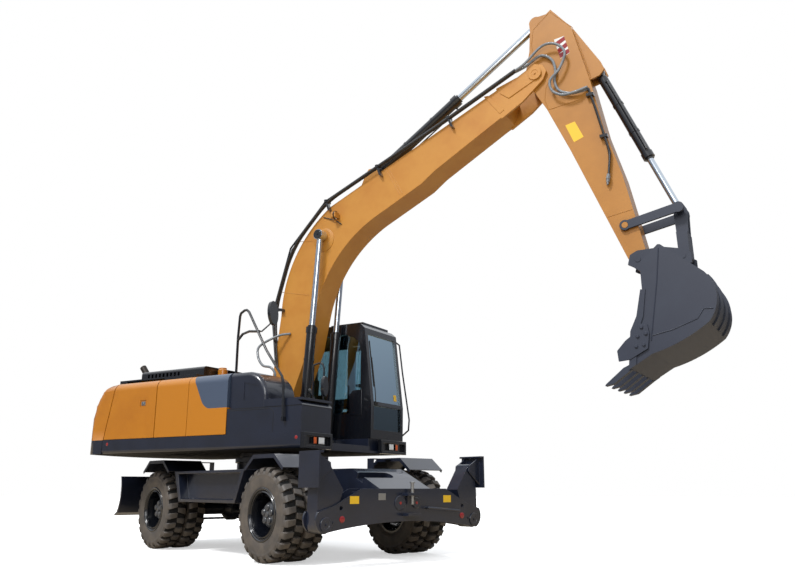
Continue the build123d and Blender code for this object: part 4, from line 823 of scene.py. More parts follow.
# %% Nuts, rings and hub bosses
NUTS, NUT_CIRCLE, NUT_SEAT = 10, 0.185, 0.972
BOSSES, BOSS_CIRCLE, BOSS_SEAT = 5, 0.078, 1.142
PLUG_SEAT = 1.1465
RIM_LIP = [(0.094, 0.2405), (0.118, 0.2405), (0.124, 0.246), (0.120, 0.256), (0.108, 0.262), (0.106, 0.268),
           (0.122, 0.272), (0.131, 0.282), (0.131, 0.294), (0.124, 0.302), (0.116, 0.304), (0.094, 0.2405)]
HUB_BOSS = [(0, 0.036), (0.016, 0.036), (0.021, 0.031), (0.021, 0.015), (0.026, 0.013), (0.026, 0)]
HUB_PLUG = [(0, 0.034), (0.012, 0.034), (0.018, 0.026), (0.018, 0)]
for wheel, side, place in WHEELS:
    body, outward = f"wheel_{wheel}", (0, side, 0)
    bm = bmesh.new()
    add_bolt(bm, (0, side * NUT_SEAT, NUT_CIRCLE), outward, 0.014, 0.022)
    ring_of(f"wheel_nuts_{wheel}", bm, NUTS, place, body, BLACK)
    bm = bmesh.new()
    add_lathe(bm, HUB_BOSS, (0, side * BOSS_SEAT, BOSS_CIRCLE), outward, 24)
    ring_of(f"hub_bosses_{wheel}", bm, BOSSES, place, body, HUB)
    bm = bmesh.new()
    add_lathe(bm, RIM_LIP, (0, side * OUTER_TYRE, 0), outward, 72)
    place_piece(f"rim_ring_{wheel}", bm, place, body, BLACK, 50)
    bm = bmesh.new()
    add_lathe(bm, HUB_PLUG, (0, side * PLUG_SEAT, 0), outward, 32)
    place_piece(f"hub_plug_{wheel}", bm, place, body, HUB)
print("nuts, rings and hub bosses done")

# %% [markdown]
# ## Trim on the upper body
#
# The lamp boxes are black castings, and each holds one clear and one amber lens. A lens is a
# flat block with a smaller one on its face, which gives the moulded step round its rim.

# %% Lamp lenses
LENS_SEAT, LENS_RIM = 0.012, 0.008
LENS_FOOT, LENS_TOP = 1.336, 1.414
LENSES = {"clear": (CLEAR, 0.058, [(1.359, -0.905), (1.310, 0.839)]),
          "amber": (ORANGE, 0.028, [(1.359, -1.035), (1.310, 0.984)])}
for kind, (material, half, spots) in LENSES.items():
    bm = bmesh.new()
    for x, y in spots:
        back, face = x - LENS_SEAT - 0.02, x - LENS_SEAT + 0.002
        inner = half - LENS_RIM
        add_box(bm, (back, y - half, LENS_FOOT), (face, y + half, LENS_TOP))
        add_box(bm, (face, y - inner, LENS_FOOT + LENS_RIM), (face + 0.004, y + inner, LENS_TOP - LENS_RIM))
    place_piece(f"{kind}_lenses", bm, UPPER, "upper", material, bevel=0.002)
print(len(LENSES), "kinds of lens")

# %% [markdown]
# Two red reflectors and a yellow dot sit on the sill. They are turned, and their place comes
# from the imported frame's own side, so that they lie on it and not in it.

# %% Sill reflectors
SILL_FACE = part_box("revolving_frame")[0].y - SWING.y
REFLECTOR = [(0, 0.024), (0.005, 0.024), (0.008, 0.018), (0.009, 0)]
bm = bmesh.new()
for x, z in ((-2.095, 1.409), (1.233, 1.404)):
    add_lathe(bm, REFLECTOR, (x, SILL_FACE + 0.006, z), (0, -1, 0), 24)
place_piece("sill_reflectors", bm, UPPER, "upper", RED)
bm = bmesh.new()
add_lathe(bm, [(0, 0.017), (0.002, 0.017), (0.002, 0)], (0.022, SILL_FACE + 0.004, 1.441), (0, -1, 0), 24)
place_piece("sill_dot", bm, UPPER, "upper", SIGN)
print("the sill's side is at", round(SILL_FACE, 3))

# %% [markdown]
# The service door has a latch in a recess, and rubber seals fill the seams of the tool box.
# The seals are thin bars that stand a hair out of the sheet. A real groove would have to be
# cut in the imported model, and a dark line shows as well from here.

# %% Latch and seals
RECESS, LATCH_FACE = -1.2495, -1.2560
SEAL_MIDDLE, SEAL_FACE = -1.2500, -1.2525
LOCK = [(0, 0.014), (0.004, 0.014), (0.006, 0.010), (0.006, 0)]
bm = bmesh.new()
add_box(bm, (-1.478, LATCH_FACE, 1.918), (-1.402, RECESS, 1.972))
add_lathe(bm, LOCK, (-1.44, LATCH_FACE, 1.945), (0, -1, 0), 20)
place_piece("door_latch", bm, UPPER, "service_door_right", STEEL, bevel=0.0015)
bm = bmesh.new()
add_box(bm, (0.112, SEAL_FACE, 1.783), (1.288, RECESS, 1.789))
add_box(bm, (0.104, SEAL_FACE, 1.476), (0.108, RECESS, 1.789))
lid_seam = [(x, SEAL_MIDDLE, z) for x, z in ((0.86, 1.480), (0.86, 1.740), (0.80, 1.765), (0.125, 1.765))]
add_pipe(bm, rounded(lid_seam, 0.12, 8), 0.003, 6)
place_piece("tool_box_seals", bm, UPPER, "upper", SEAL)
print("latch and seals done")

# %% [markdown]
# ## Boom and arm
#
# The boom is a welded box. Weld beads cross its side where the side plates were joined, and a
# round doubler spreads the load of the cylinder pin. A bead is drawn as a thin bar sunk to its
# middle in the plate, which looks like the small ridge that a welder leaves.

# %% Weld beads and doublers
BOOM_FACE, ARM_FACE = 0.190, 0.150
BOOM_RAM_EYE = (0.785, 4.290)
DOUBLER = [(0, 0.172), (0.006, 0.172), (0.008, 0.168), (0.008, 0)]


def bead(bm, path, face, radius=0.004):
    """A weld bead on both side faces along a path in x and z."""
    for side in (-1, 1):
        add_pipe(bm, [(x, side * (face + 0.0005), z) for x, z in path], radius, 8)


bm = bmesh.new()
for path in ([(1.811, 5.118), (2.035, 4.70)], [(1.856, 5.118), (2.080, 4.70)],
             [(0.30, 4.30), (0.591, 4.266)], [(0.05, 3.57), (0.548, 3.465)]):
    bead(bm, path, BOOM_FACE)
for side in (-1, 1):
    add_lathe(bm, DOUBLER, (0.784, side * BOOM_FACE, 4.247), (0, side, 0), 48)
place_piece("boom_beads", bm, UPPER, "boom", PAINTED_SHEEN_AMBER, 40)
bm = bmesh.new()
for path in ([(4.179, 5.413), (4.62, 5.45)], [(4.811, 3.866), (5.10, 3.91)],
             [(4.216, 5.822), (4.162, 5.731), (4.137, 5.563), (4.179, 5.413)],
             [(4.275, 6.78), (4.547, 6.467), (4.715, 5.78)],
             [(4.255, 6.78), (4.03, 6.60), (4.00, 6.381), (4.03, 6.12)]):
    bead(bm, path, ARM_FACE)
place_piece("arm_beads", bm, UPPER, "arm", PAINTED_SHADE_AMBER, 40)
print("beads done")

# %% [markdown]
# A cover strip hides the boom's last joint, and a thicker plate strengthens its elbow. Both
# are flat plates with a small bevel, sunk two millimetres into the side.

# %% Elbow plates
ELBOW_PLATE = [(3.55, 5.797), (3.685, 5.826), (3.939, 5.882), (4.06, 5.861), (3.671, 5.692)]
COVER_STRIP = [(3.322, 5.811), (3.388, 5.807), (3.602, 5.548), (3.539, 5.507)]
bm = bmesh.new()
for side in (-1, 1):
    for outline, height in ((ELBOW_PLATE, 0.010), (COVER_STRIP, 0.006)):
        add_plate(bm, outline, side * (BOOM_FACE - 0.002), side * (BOOM_FACE + height))
place_piece("boom_elbow_plates", bm, UPPER, "boom", PAINTED_SHEEN_AMBER, bevel=0.003)
print("elbow plates done")

# %% [markdown]
# The pressure pipes are bent steel tube, held in clamps. One path in the side view is enough
# for all of them: each pipe takes its own place across, and the third runs a little higher.

# %% Pipes and clamps on the boom
BOOM_PIPE = [(0.040, 2.480), (-0.060, 3.219), (0.230, 4.185), (0.840, 4.800), (1.293, 4.985), (2.817, 5.605),
             (3.800, 6.035)]
# For each clamp: its place, and which way its foot points to reach the boom.
CLAMPS = ((-0.035, 3.32, 0.98, 0.2), (0.84, 4.81, 0.35, 0.94), (1.70, 5.16, 0.37, 0.93),
          (2.817, 5.615, 0.37, 0.93))
FOOT_LENGTH = 0.13
bm = bmesh.new()
for y, up in ((-0.245, 0.0), (-0.210, 0.0), (-0.172, 0.035)):
    add_pipe(bm, rounded([(x - up * 0.4, y, z + up) for x, z in BOOM_PIPE], 0.35, 8), 0.0135, 14)
pipes = place_piece("boom_pressure_pipes", bm, UPPER, "boom", BLACK, 50)
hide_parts("boom_pipes")
bm = bmesh.new()
for x, z, along, down in CLAMPS:
    add_bar(bm, (x, -0.265, z), (x, -0.15, z), 0.030, 4)
    add_bar(bm, (x, -0.20, z), (x + along * FOOT_LENGTH, -0.178, z - down * FOOT_LENGTH), 0.012, 10)
place_piece("boom_pipe_clamps", bm, UPPER, "boom", BLACK, bevel=0.002)
print(len(CLAMPS), "clamps on the boom")

# %% [markdown]
# Two pipes on the arm feed a hydraulic hammer, and end in steel couplings. The two pieces share
# the places of their lanes, so a coupling always sits on its pipe.

# %% Pipes and couplings on the arm
ARM_PIPE = [(4.700, 5.540), (4.760, 5.292), (4.900, 4.640), (4.860, 4.330)]
ARM_LANES = ((-0.170, 0.0), (-0.200, 0.010))
COUPLING = [(0, 0), (0, 0.022), (0.03, 0.022), (0.034, 0.027), (0.06, 0.027), (0.064, 0.020), (0.10, 0.020),
            (0.104, 0.012), (0.125, 0.012), (0.125, 0)]
bm = bmesh.new()
for y, out in ARM_LANES:
    add_pipe(bm, rounded([(x + out, y, z) for x, z in ARM_PIPE], 0.10, 8), 0.0125, 14)
for x, z in ((4.722, 5.450), (4.850, 4.870)):
    add_box(bm, (x - 0.04, -0.215, z - 0.016), (x + 0.04, -0.151, z + 0.016))
pipes = place_piece("arm_pressure_pipes", bm, UPPER, "arm", BLACK, 50)
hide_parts("arm_pipes")
bm = bmesh.new()
for y, out in ARM_LANES:
    add_lathe(bm, COUPLING, (4.864 + out, y, 4.375), (-0.15, 0, -1), 6)
place_piece("hammer_couplings", bm, UPPER, "arm", STEEL, bevel=0.001)
print("pipes and couplings on the arm done")

# %% [markdown]
# Braided hoses hang in two loops across the elbow. Each is one smooth line from the boom to the
# arm. A simulated cord would find its own sag, but these loops are held by their couplings and
# follow the photo.

# %% Hoses across the elbow
HOSE_RADIUS = 0.017
# For each hose: its points, its own place across, and the places of its two couplings.
LOOPS = {
    "elbow_hose_outer": (
        [(3.785, 6.028), (3.93, 6.10), (4.161, 6.271), (4.342, 6.249), (4.454, 6.090), (4.371, 5.886),
         (4.245, 5.760), (4.270, 5.610), (4.400, 5.520), (4.560, 5.520), (4.700, 5.560)],
        -0.235, -0.240, -0.200),
    "elbow_hose_inner": (
        [(3.785, 6.028), (3.92, 6.08), (4.120, 6.170), (4.262, 6.080), (4.309, 5.920), (4.290, 5.760),
         (4.340, 5.620), (4.470, 5.545), (4.600, 5.530), (4.700, 5.550)],
        -0.190, -0.210, -0.170),
}


def hose(name, path, radius, bodies, material=HOSE):
    """A hose along a path: with one body it rides on it, and between two bodies it stays where it is drawn.
    """
    bm = bmesh.new()
    add_pipe(bm, path, radius, 16)
    mesh = as_mesh(name, bm, UPPER)
    smooth(mesh, material)
    obj = add_object(name, mesh)
    if len(bodies) == 2:
        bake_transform(obj)
    else:
        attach(obj, bodies[0])


for name, (points, y, y_first, y_last) in LOOPS.items():
    lanes = [y_first] + [y] * (len(points) - 2) + [y_last]
    hose(name, spline([(x, lane, z) for (x, z), lane in zip(points, lanes)]), HOSE_RADIUS, ("boom", "arm"))

# %% [markdown]
# Signs are thin films with nothing printed on them, apart from the red stripes of the warning
# patch. Each is a plate a little over a millimetre thick, laid on the face that carries it.
# The stripes are cut from the patch's own outline, so they lean with it.

# %% Signs on the arm
FILM = 0.0012
PATCH = [(4.301, 6.368), (4.434, 6.379), (4.494, 6.120), (4.371, 6.076)]
STRIPES = ((0.02, 0.24, 0.14), (0.38, 0.62, 0.14), (0.76, 0.98, 0.0))


def film(name, corners, lift, material):
    """A thin film on the arm's right side, from corners in x and z."""
    bm = bmesh.new()
    add_plate(bm, corners, -ARM_FACE - lift, -ARM_FACE - lift - FILM)
    return place_piece(name, bm, UPPER, "arm", material)


def between(a, b, t):
    """A point on the line from a to b."""
    return (a[0] + (b[0] - a[0]) * t, a[1] + (b[1] - a[1]) * t)


film("arm_sign", [(4.380, 5.145), (4.502, 5.168), (4.597, 4.940), (4.476, 4.897)], 0.0, SIGN)
film("arm_patch", PATCH, 0.0, PLATE)
left, right = (PATCH[0], PATCH[3]), (PATCH[1], PATCH[2])
for n, (top, foot, lean) in enumerate(STRIPES):
    stripe = [between(*left, min(top + lean, 1)), between(*right, top),
              between(*right, foot), between(*left, min(foot + lean, 1))]
    film(f"arm_patch_stripe_{n}", stripe, 0.001, RED)
print("signs done")

# %% [markdown]
# The work lamp stands beside the boom's foot. Its lens and its ring are turned round the
# lamp's axis, and its cable is a thin pipe that follows the boom.

# %% Work lamp on the boom
LAMP_MIDDLE = (-0.250, 4.560)
LAMP_LENS = [(0, 0.052), (0.006, 0.056), (0.012, 0.052), (0.012, 0.0)]
LAMP_RING = [(0.0, 0.054), (0.0, 0.066), (0.014, 0.066), (0.016, 0.054)]
LAMP_CABLE = [(0.772, -0.196, 4.590), (0.90, -0.205, 4.54), (1.02, -0.225, 4.485), (1.085, -0.196, 4.43)]
bm = bmesh.new()
add_lathe(bm, LAMP_LENS, (1.012, *LAMP_MIDDLE), (1, 0, 0), 40)
place_piece("work_lamp_lens", bm, UPPER, "boom", CLEAR)
bm = bmesh.new()
add_lathe(bm, LAMP_RING, (1.010, *LAMP_MIDDLE), (1, 0, 0), 40)
add_pipe(bm, LAMP_CABLE, 0.007, 8)
place_piece("work_lamp_ring", bm, UPPER, "boom", BLACK)
print("work lamp done")

# %% [markdown]
# ## The outrigger beam
#
# The beam faces the camera, so its small things show: blank signs, round reflectors, a blank
# nameplate, and the pin in the towing jaw. All but the pin stand on the beam's one face.

# %% Signs, reflectors and tow pin
BEAM_FACE = 2.609
PIN_RADIUS = 0.0195
SHEET = BEAM_FACE + 0.0015
BEAM_REFLECTOR = [(0, 0.034), (0.006, 0.034), (0.009, 0.026), (0.009, 0)]
bm = bmesh.new()
for y in (-0.74, 0.66):
    add_box(bm, (BEAM_FACE, y - 0.062, 0.655), (SHEET, y + 0.062, 0.735))
place_piece("beam_signs", bm, UNDER, "undercarriage", SIGN)
bm = bmesh.new()
for y in (-0.905, 0.905):
    add_lathe(bm, BEAM_REFLECTOR, (BEAM_FACE, y, 0.50), (1, 0, 0), 32)
place_piece("beam_reflectors", bm, UNDER, "undercarriage", RED)
bm = bmesh.new()
add_box(bm, (BEAM_FACE, -0.405, 0.690), (SHEET, -0.300, 0.762))
place_piece("beam_nameplate", bm, UNDER, "undercarriage", STEEL, bevel=0.0005)
bm = bmesh.new()
add_bar(bm, (2.664, 0.050, 0.640), (2.664, 0.050, 0.872), PIN_RADIUS, 24)
add_lathe(bm, [(0, PIN_RADIUS), (0, 0.030), (0.012, 0.030), (0.016, 0.024), (0.016, 0)],
          (2.664, 0.050, 0.872), (0, 0, 1), 24)
place_piece("tow_pin", bm, UNDER, "undercarriage", STEEL)
print("signs, reflectors and tow pin done")

# %% [markdown]
# Pins end in round caps, held by one bolt. A cap is one turned profile with a raised ring, and
# it is used at the elbow, at the boom cylinders and at the outrigger legs.

# %% Pin caps
ELBOW_PIN, LEG_PIN, LEG_BOLT = (4.040, 5.938), (1.113, 0.450), (1.02, 0.47)


def pin_cap(bm, spot, axis, radius):
    """A round cap with a raised ring and one bolt."""
    profile = [(0, 0), (0, radius), (0.010, radius), (0.013, radius - 0.003), (0.013, radius * 0.55),
               (0.009, radius * 0.5), (0.009, 0)]
    add_lathe(bm, profile, spot, axis, 36)
    add_bolt(bm, Vector(spot) + Vector(axis) * 0.008, axis, radius * 0.16, 0.012)


for name, (x, z), y, radius, body, material, slot in (
        ("elbow_pin_caps", ELBOW_PIN, 0.200, 0.088, "boom", PAINTED_SHEEN_AMBER, "paint_yellow"),
        ("boom_ram_pin_caps", BOOM_RAM_EYE, 0.350, 0.066, "boom_cylinder_rods", BLACK, "paint_black")):
    bm = bmesh.new()
    for side in (-1, 1):
        pin_cap(bm, (x, side * y, z), (0, side, 0), radius)
    place_piece(name, bm, UPPER, body, material)
bm = bmesh.new()
for side in (-1, 1):
    pin_cap(bm, (BEAM_FACE, side * LEG_PIN[0], LEG_PIN[1]), (1, 0, 0), 0.075)
    add_bolt(bm, (BEAM_FACE, side * LEG_BOLT[0], LEG_BOLT[1]), (1, 0, 0), 0.012, 0.012)
place_piece("leg_pin_caps", bm, UNDER, "undercarriage", SLATE)
print("pin caps done")

# %% [markdown]
# Two round bosses of different size stand on the middle of the beam, and each has a red plug.
# Both kinds are drawn in one loop, into two drawings, because a finish belongs to a piece.

# %% Bosses in the beam
BOSS_HEIGHT = 0.656
BEAM_BOSSES = ((-0.09, 0.080), (0.155, 0.060))
bosses, plugs = bmesh.new(), bmesh.new()
for y, radius in BEAM_BOSSES:
    profile = [(0, 0), (0, radius), (0.008, radius), (0.012, radius - 0.006), (0.012, 0)]
    add_lathe(bosses, profile, (BEAM_FACE, y, BOSS_HEIGHT), (1, 0, 0), 36)
    add_bar(plugs, (BEAM_FACE + 0.01, y, BOSS_HEIGHT), (BEAM_FACE + 0.016, y, BOSS_HEIGHT), 0.016, 20)
place_piece("beam_bosses", bosses, UNDER, "undercarriage", SLATE)
place_piece("beam_boss_plugs", plugs, UNDER, "undercarriage", RED)
print("bosses done")

# %% [markdown]
# ## Cylinders and bucket
#
# Each barrel carries a steel oil line in two clamps, from the port at its foot to the port at
# its gland. It is drawn from the two pin centres of the cylinder and an angle round it, so it
# lies along the barrel whatever its lean.

# %% Oil lines along the barrels
BOOM_RAM_FOOT = (0.570, 1.420)
# For each line: pin centres at the foot and the eye, place across, barrel radius, where the
# line begins and ends along the barrel, the body, and the angle round it in degrees.
RAM_LINES = {
    "boom_ram_line_right":
        (BOOM_RAM_FOOT, BOOM_RAM_EYE, -0.290, 0.068, 0.22, 1.46, "boom_cylinder_barrels", 70),
    "boom_ram_line_left":
        (BOOM_RAM_FOOT, BOOM_RAM_EYE, 0.290, 0.068, 0.22, 1.46, "boom_cylinder_barrels", 70),
    "arm_ram_line":
        ((1.520, 5.130), (4.042, 6.742), 0.0, 0.072, 0.25, 1.50, "arm_cylinder_barrel", -60),
    "bucket_ram_line":
        ((4.805, 5.821), (5.601, 3.833), 0.0, 0.060, 0.20, 1.28, "bucket_cylinder_barrel", 160),
}


def ram_line(name, foot, eye, y, radius, near, far, body, degrees):
    """A thin pipe beside a barrel, at an angle round it, with two clamps."""
    start, end = Vector((foot[0], y, foot[1])), Vector((eye[0], y, eye[1]))
    along = (end - start).normalized()
    across = Vector((0, 1, 0))
    turn = math.radians(degrees)
    out = across * math.cos(turn) + along.cross(across) * math.sin(turn)
    sunk, beside = out * (radius - 0.01), out * (radius + 0.028)
    strap = [(0, radius - 0.004), (0, radius + 0.006), (0.03, radius + 0.006), (0.03, radius - 0.004)]
    a, b = start + along * near, start + along * far
    bm = bmesh.new()
    add_pipe(bm, rounded([a + sunk, a + beside, b + beside, b + sunk], 0.03), 0.010, 10)
    for share in (0.3, 0.7):
        spot = a.lerp(b, share)
        add_lathe(bm, strap, spot, along, 32)
        spot = spot + along * 0.002
        add_bar(bm, spot + sunk, spot + out * (radius + 0.040), 0.013, 8)
    for spot in (a, b):
        add_bar(bm, spot + out * (radius - 0.02), spot + out * (radius + 0.012), 0.020, 6)
    place_piece(name, bm, UPPER, body, BLACK)


for name, line in RAM_LINES.items():
    ram_line(name, *line)
print(len(RAM_LINES), "oil lines")

# %% [markdown]
# The bucket's side carries a cutter bolted to its front edge, and a welded edge strip where the
# side plate meets the curved shell.

# %% Bucket cutters and strips
BUCKET_FACE, CUTTER_FACE = 0.555, 0.577
CUTTER = [(5.245, 2.470), (5.260, 2.380), (5.235, 2.217), (5.043, 2.115), (4.925, 2.105), (4.915, 2.218),
          (5.006, 2.317), (5.120, 2.400), (5.160, 2.490)]
CUTTER_BOLTS = ((5.185, 2.445), (5.225, 2.375), (5.140, 2.352), (5.117, 2.248), (5.195, 2.260))
bm = bmesh.new()
for side in (-1, 1):
    add_plate(bm, CUTTER, side * BUCKET_FACE, side * CUTTER_FACE)
    for x, z in CUTTER_BOLTS:
        add_bolt(bm, (x, side * CUTTER_FACE, z), (0, side, 0), 0.017, 0.016)
place_piece("bucket_cutters", bm, UPPER, "bucket", WORN, bevel=0.003)
bm = bmesh.new()
bead(bm, [(5.423, 3.280), (5.376, 2.912), (5.270, 2.300)], BUCKET_FACE, 0.006)
bead(bm, [(5.275, 2.350), (5.490, 2.392), (5.742, 2.482), (5.811, 2.578), (5.900, 2.570)], BUCKET_FACE, 0.006)
place_piece("bucket_beads", bm, UPPER, "bucket", WORN, 40)
print("cutters and strips done")

# %% [markdown]
# ## Hoses and the cab
#
# One long hose loops from the deck to the boom's back. Two short ones run from the tool box
# wall to the boom cylinder. Their ends are crimped in steel fittings.

# %% Hoses at the boom's foot
DECK_HOSE = [(0.246, -0.200, 2.935), (0.10, -0.30, 2.90), (-0.121, -0.42, 2.757), (-0.10, -0.47, 2.60),
             (0.006, -0.49, 2.465), (0.16, -0.50, 2.42), (0.243, -0.50, 2.32), (0.20, -0.49, 2.20),
             (0.10, -0.46, 2.12), (0.02, -0.425, 2.10)]
RAM_HOSES = [
    [(0.86, -0.622, 1.46), (0.86, -0.610, 1.58), (0.86, -0.580, 1.72), (0.82, -0.500, 1.84),
     (0.74, -0.380, 1.93), (0.680, -0.300, 1.98)],
    [(0.98, -0.622, 1.46), (0.98, -0.610, 1.60), (0.97, -0.570, 1.78), (0.90, -0.480, 1.93),
     (0.78, -0.370, 2.04), (0.686, -0.300, 2.10)],
]
FOOT_FITTING = [(0, 0), (0, 0.024), (0.035, 0.024), (0.035, 0.019), (0.06, 0.019), (0.06, 0)]
TOP_FITTING = [(0, 0), (0, 0.020), (0.04, 0.020), (0.04, 0.024), (0.06, 0.024), (0.06, 0)]
hose("deck_to_boom_hose", spline(DECK_HOSE), HOSE_RADIUS, ("boom", "upper"))
bm = bmesh.new()
for n, points in enumerate(RAM_HOSES):
    hose(f"ram_hose_{n}", spline(points), 0.015, ("upper",), SEAL)
    tail = Vector(points[-1]) - Vector(points[-2])
    add_lathe(bm, FOOT_FITTING, points[0], (0, 0, 1), 6)
    add_lathe(bm, TOP_FITTING, Vector(points[-1]) - tail.normalized() * 0.05, tail, 6)
place_piece("ram_hose_fittings", bm, UPPER, "upper", STEEL)
print(len(RAM_HOSES), "short hoses with their fittings")

# %% [markdown]
# The cab's side window has rounded corners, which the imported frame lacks. Three thin black
# panels fill them, as flat plates just outside the side of the frame.

# %% Cab corner panels
CAB_SIDE = 0.385
CORNER_PANELS = (
    ([(0.880, 1.800), (0.872, 2.080), (0.925, 2.150), (1.085, 2.160), (1.085, 1.800)], -0.006),
    ([(-0.28, 2.72), (-0.28, 2.96), (0.06, 2.96), (-0.12, 2.93), (-0.22, 2.86)], 0.002),
    ([(0.78, 2.965), (1.062, 2.965), (1.062, 2.68), (1.02, 2.84), (0.93, 2.92)], 0.002),
)
bm = bmesh.new()
for outline, start in CORNER_PANELS:
    add_plate(bm, outline, CAB_SIDE + start, CAB_SIDE + 0.012)
place_piece("cab_corner_panel", bm, UPPER, "upper", BLACK, bevel=0.005)
print(len(CORNER_PANELS), "corner panels")

# %% [markdown]
# The wiper and a blank sticker lie on the leaning windscreen. One function gives a spot in
# front of the pane from a place across and a height, so both keep to its lean. The monitor
# stands behind the pane on a thin post.

# %% Wiper, monitor and sticker
SCREEN_LOW, SCREEN_HIGH = (1.243, 1.950), (1.120, 3.040)
SCREEN_LEAN = (SCREEN_LOW[0] - SCREEN_HIGH[0]) / (SCREEN_HIGH[1] - SCREEN_LOW[1])
SCREEN_SEAT = 0.018


def on_screen(y, z, out):
    """A spot in front of the windscreen."""
    return (SCREEN_LOW[0] - SCREEN_LEAN * (z - SCREEN_LOW[1]) - SCREEN_SEAT + out, y, z)


bm = bmesh.new()
arm_path = [on_screen(0.50, 1.96, 0.02), on_screen(0.50, 2.10, 0.03), on_screen(0.485, 2.62, 0.03)]
add_pipe(bm, rounded(arm_path, 0.1), 0.007, 8)
add_pipe(bm, [on_screen(0.492, 2.20, 0.018), on_screen(0.478, 2.86, 0.018)], 0.009, 8)
add_box(bm, (1.222, 0.475, 1.935), (1.252, 0.545, 1.985))
place_piece("wiper", bm, UPPER, "upper", SEAL, 40)
bm = bmesh.new()
add_box(bm, (0.985, 0.50, 2.10), (1.005, 0.74, 2.27))
add_pipe(bm, [(0.99, 0.62, 1.60), (0.99, 0.62, 2.12)], 0.014, 10)
place_piece("cab_monitor", bm, UPPER, "upper", SEAL, bevel=0.006)
bm = bmesh.new()
corners = ((1.045, 2.045), (1.125, 2.045), (1.125, 2.135), (1.045, 2.135))
bm.faces.new([bm.verts.new(on_screen(y, z, 0.0006)) for y, z in corners])
place_piece("screen_sticker", bm, UPPER, "upper", SIGN)
print("cab trim done")

# %% [markdown]
# The seat is stuffed, so it is blown up by a cloth simulation: a smaller block is remeshed,
# pressed outwards from inside for twenty frames, held to a few centimetres of travel and
# smoothed. The result is a crowned cushion whose sides pull in at the corners.

# %% Driver's seat
ROUNDING, GRID = 0.028, 0.011
LAST_FRAME = 20


def inflate(obj, cap):
    """Press a cushion outwards with Cloth, and hold each point to its longest travel."""
    before = [v.co.copy() for v in obj.data.vertices]
    cloth = obj.modifiers.new("stuffing", "CLOTH")
    cloth.settings.quality = 5
    cloth.settings.mass = 0.3
    cloth.settings.use_pressure = True
    cloth.settings.uniform_pressure_force = 4.0
    cloth.settings.effector_weights.gravity = 0.0
    cloth.point_cache.frame_start, cloth.point_cache.frame_end = 1, LAST_FRAME
    for number in range(1, LAST_FRAME + 1):
        bpy.context.scene.frame_set(number)
    bake(obj)
    bpy.context.scene.frame_set(1)
    for vert, start in zip(obj.data.vertices, before):
        moved = vert.co - start
        if moved.length > cap:
            vert.co = start + moved.normalized() * cap


def stuffed(name, lo, hi, cap):
    """A cushion between two corners, blown up with Cloth and baked."""
    bm = bmesh.new()
    add_box(bm, lo, hi)
    bmesh.ops.recalc_face_normals(bm, faces=bm.faces)
    bmesh.ops.bevel(bm, geom=bm.edges[:], offset=ROUNDING, segments=3, profile=0.5, affect="EDGES")
    obj = add_object(name, as_mesh(name, bm, UPPER, outward=False))
    even = obj.modifiers.new("even_grid", "REMESH")
    even.mode = "VOXEL"
    even.voxel_size = GRID
    bake(obj)
    inflate(obj, cap)
    finer = obj.modifiers.new("finer", "SUBSURF")
    finer.levels = finer.render_levels = 1
    bake(obj)
    smooth(obj.data, CLOTH)
    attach(obj, "upper")
    return obj


squab = stuffed("seat_squab", (-0.110, 0.640, 1.915), (0.345, 1.060, 1.995), 0.022)
back = stuffed("seat_back", (-0.215, 0.640, 2.000), (-0.130, 1.060, 2.470), 0.022)
head = stuffed("seat_headrest", (-0.200, 0.740, 2.500), (-0.140, 0.960, 2.635), 0.016)
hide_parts("driver_seat")
print("the seat has", len(squab.data.polygons) + len(back.data.polygons) + len(head.data.polygons), "faces")

# %% [markdown]
# ## Studio
#
# The picture is a product shot: white all round, soft light from above, and a little more
# light from the camera's side. The camera stands low in front of the right fender and looks up.
# Its place, turn and lens come from fitting the photo's lines, not from trying views.

# %% Camera
CAMERA_YAW, CAMERA_PITCH = math.radians(120.41), math.radians(14.80)
camera_data = bpy.data.cameras.new("studio_camera")
camera_data.sensor_width = 36.0
camera_data.lens = 34.48
camera = add_object("studio_camera", camera_data)
camera.location = SWING + Vector((6.938, -8.600, 0.828))
look = Vector((
    math.cos(CAMERA_PITCH) * math.cos(CAMERA_YAW),
    math.cos(CAMERA_PITCH) * math.sin(CAMERA_YAW),
    math.sin(CAMERA_PITCH),
))
camera.rotation_euler = look.to_track_quat("-Z", "Y").to_euler()
bpy.context.scene.camera = camera
print("the camera is", round(camera.location.z, 2), "m above the floor")

# %% [markdown]
# The floor is white card to the camera, and to every other ray it is the dull ground of a yard,
# so that the undersides stay as dark as they are outdoors. A white floor for all rays would
# light the machine from below.

# %% Floor
WHITE = (1, 1, 1, 1)
FLOOR_REACH = 60
FLOOR_CORNERS = [(FLOOR_REACH * x, FLOOR_REACH * y, 0) for x, y in ((-1, -1), (1, -1), (1, 1), (-1, 1))]
bpy.context.scene.view_settings.view_transform = "Standard"
floor_mesh = bpy.data.meshes.new("studio_floor")
floor_mesh.from_pydata(FLOOR_CORNERS, [], [(0, 1, 2, 3)])
floor = add_object("studio_floor", floor_mesh)
floor_finish, tree, output, place = new_finish("matt_white_card")
card = add_node(tree, "ShaderNodeBsdfDiffuse", Color=(0.9, 0.9, 0.9, 1))
glow = add_node(tree, "ShaderNodeEmission", Color=WHITE, Strength=0.5)
both = add_node(tree, "ShaderNodeAddShader")
tree.links.new(card.outputs[0], both.inputs[0])
tree.links.new(glow.outputs[0], both.inputs[1])
yard = add_node(tree, "ShaderNodeBsdfDiffuse", Color=(0.42, 0.35, 0.26, 1))
seen = add_node(tree, "ShaderNodeLightPath").outputs["Is Camera Ray"]
tree.links.new(mix_shaders(tree, seen, yard, both), output.inputs["Surface"])
floor_mesh.materials.append(floor_finish)
print("the floor is", 2 * FLOOR_REACH, "m wide")

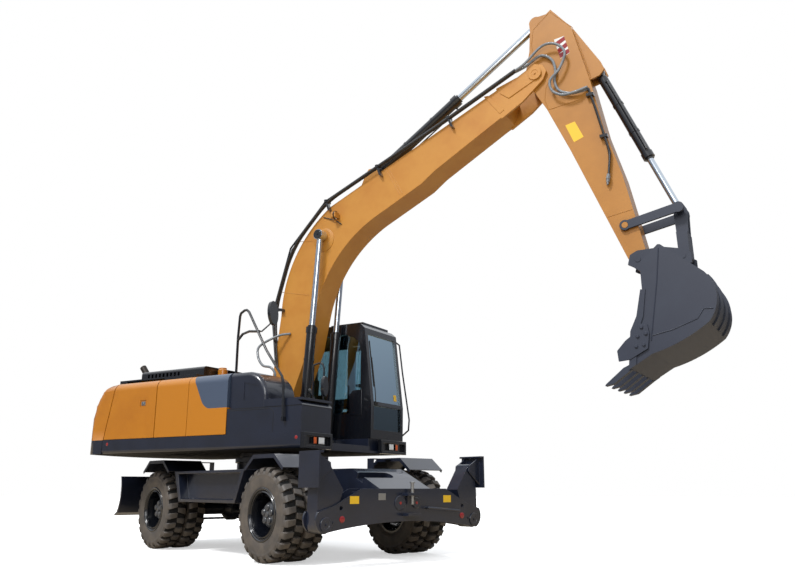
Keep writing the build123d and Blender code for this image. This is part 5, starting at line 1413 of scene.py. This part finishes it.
# %% [markdown]
# The world works in the same way: plain white to the camera, and to the machine a sky that is
# bright above and grey at the horizon. That gradient is what shapes the glossy panels, and an
# even white dome would flatten them.

# %% World
SKY = ((0.0, (0.13, 0.13, 0.14, 1)), (0.24, (0.36, 0.38, 0.43, 1)), (0.62, (0.94, 0.97, 1.0, 1)))
world = bpy.data.worlds.new("white_studio")
bpy.context.scene.world = world
world.use_nodes = True
sky = world.node_tree
sky.nodes.clear()
direction = add_node(sky, "ShaderNodeTexCoord").outputs["Generated"]
height = add_node(sky, "ShaderNodeSeparateXYZ", Vector=direction)
dome = add_node(sky, "ShaderNodeValToRGB", Fac=height.outputs["Z"])
dome.color_ramp.elements[1].position = SKY[2][0]
dome.color_ramp.elements.new(SKY[1][0])
for element, (position, colour) in zip(dome.color_ramp.elements, SKY):
    element.position, element.color = position, colour
soft = add_node(sky, "ShaderNodeBackground", Color=dome.outputs["Color"], Strength=1.0)
white = add_node(sky, "ShaderNodeBackground", Color=WHITE, Strength=1.0)
seen = add_node(sky, "ShaderNodeLightPath").outputs["Is Camera Ray"]
world_output = add_node(sky, "ShaderNodeOutputWorld")
sky.links.new(mix_shaders(sky, seen, soft, white), world_output.inputs["Surface"])
print(len(dome.color_ramp.elements), "steps in the sky")

# %% [markdown]
# Two lights help the sky: a wide sun from the camera's left for soft shadows, and a big card
# near the camera that lifts the side of the machine. Both are large, so no shadow has a hard
# edge. A single small lamp would give one black shadow and one bright spot.

# %% Lights
def lamp(name, kind, place, aim, energy, size):
    """A light at a place, pointed at a spot: an area's width in metres, or a sun's in degrees."""
    data = bpy.data.lights.new(name, kind)
    data.energy = energy
    if kind == "AREA":
        data.size = size
    else:
        data.angle = math.radians(size)
    obj = add_object(name, data)
    obj.location = place
    obj.rotation_euler = (Vector(aim) - Vector(place)).to_track_quat("-Z", "Y").to_euler()


lamp("sun_card", "SUN", (-2, -9, 12), (0, 0, 1), 2.3, 12)
lamp("side_card", "AREA", (5.0, -9.0, 6.0), (0.5, 0, 2.5), 350, 5.0)
print(len(bpy.data.lights), "lights")
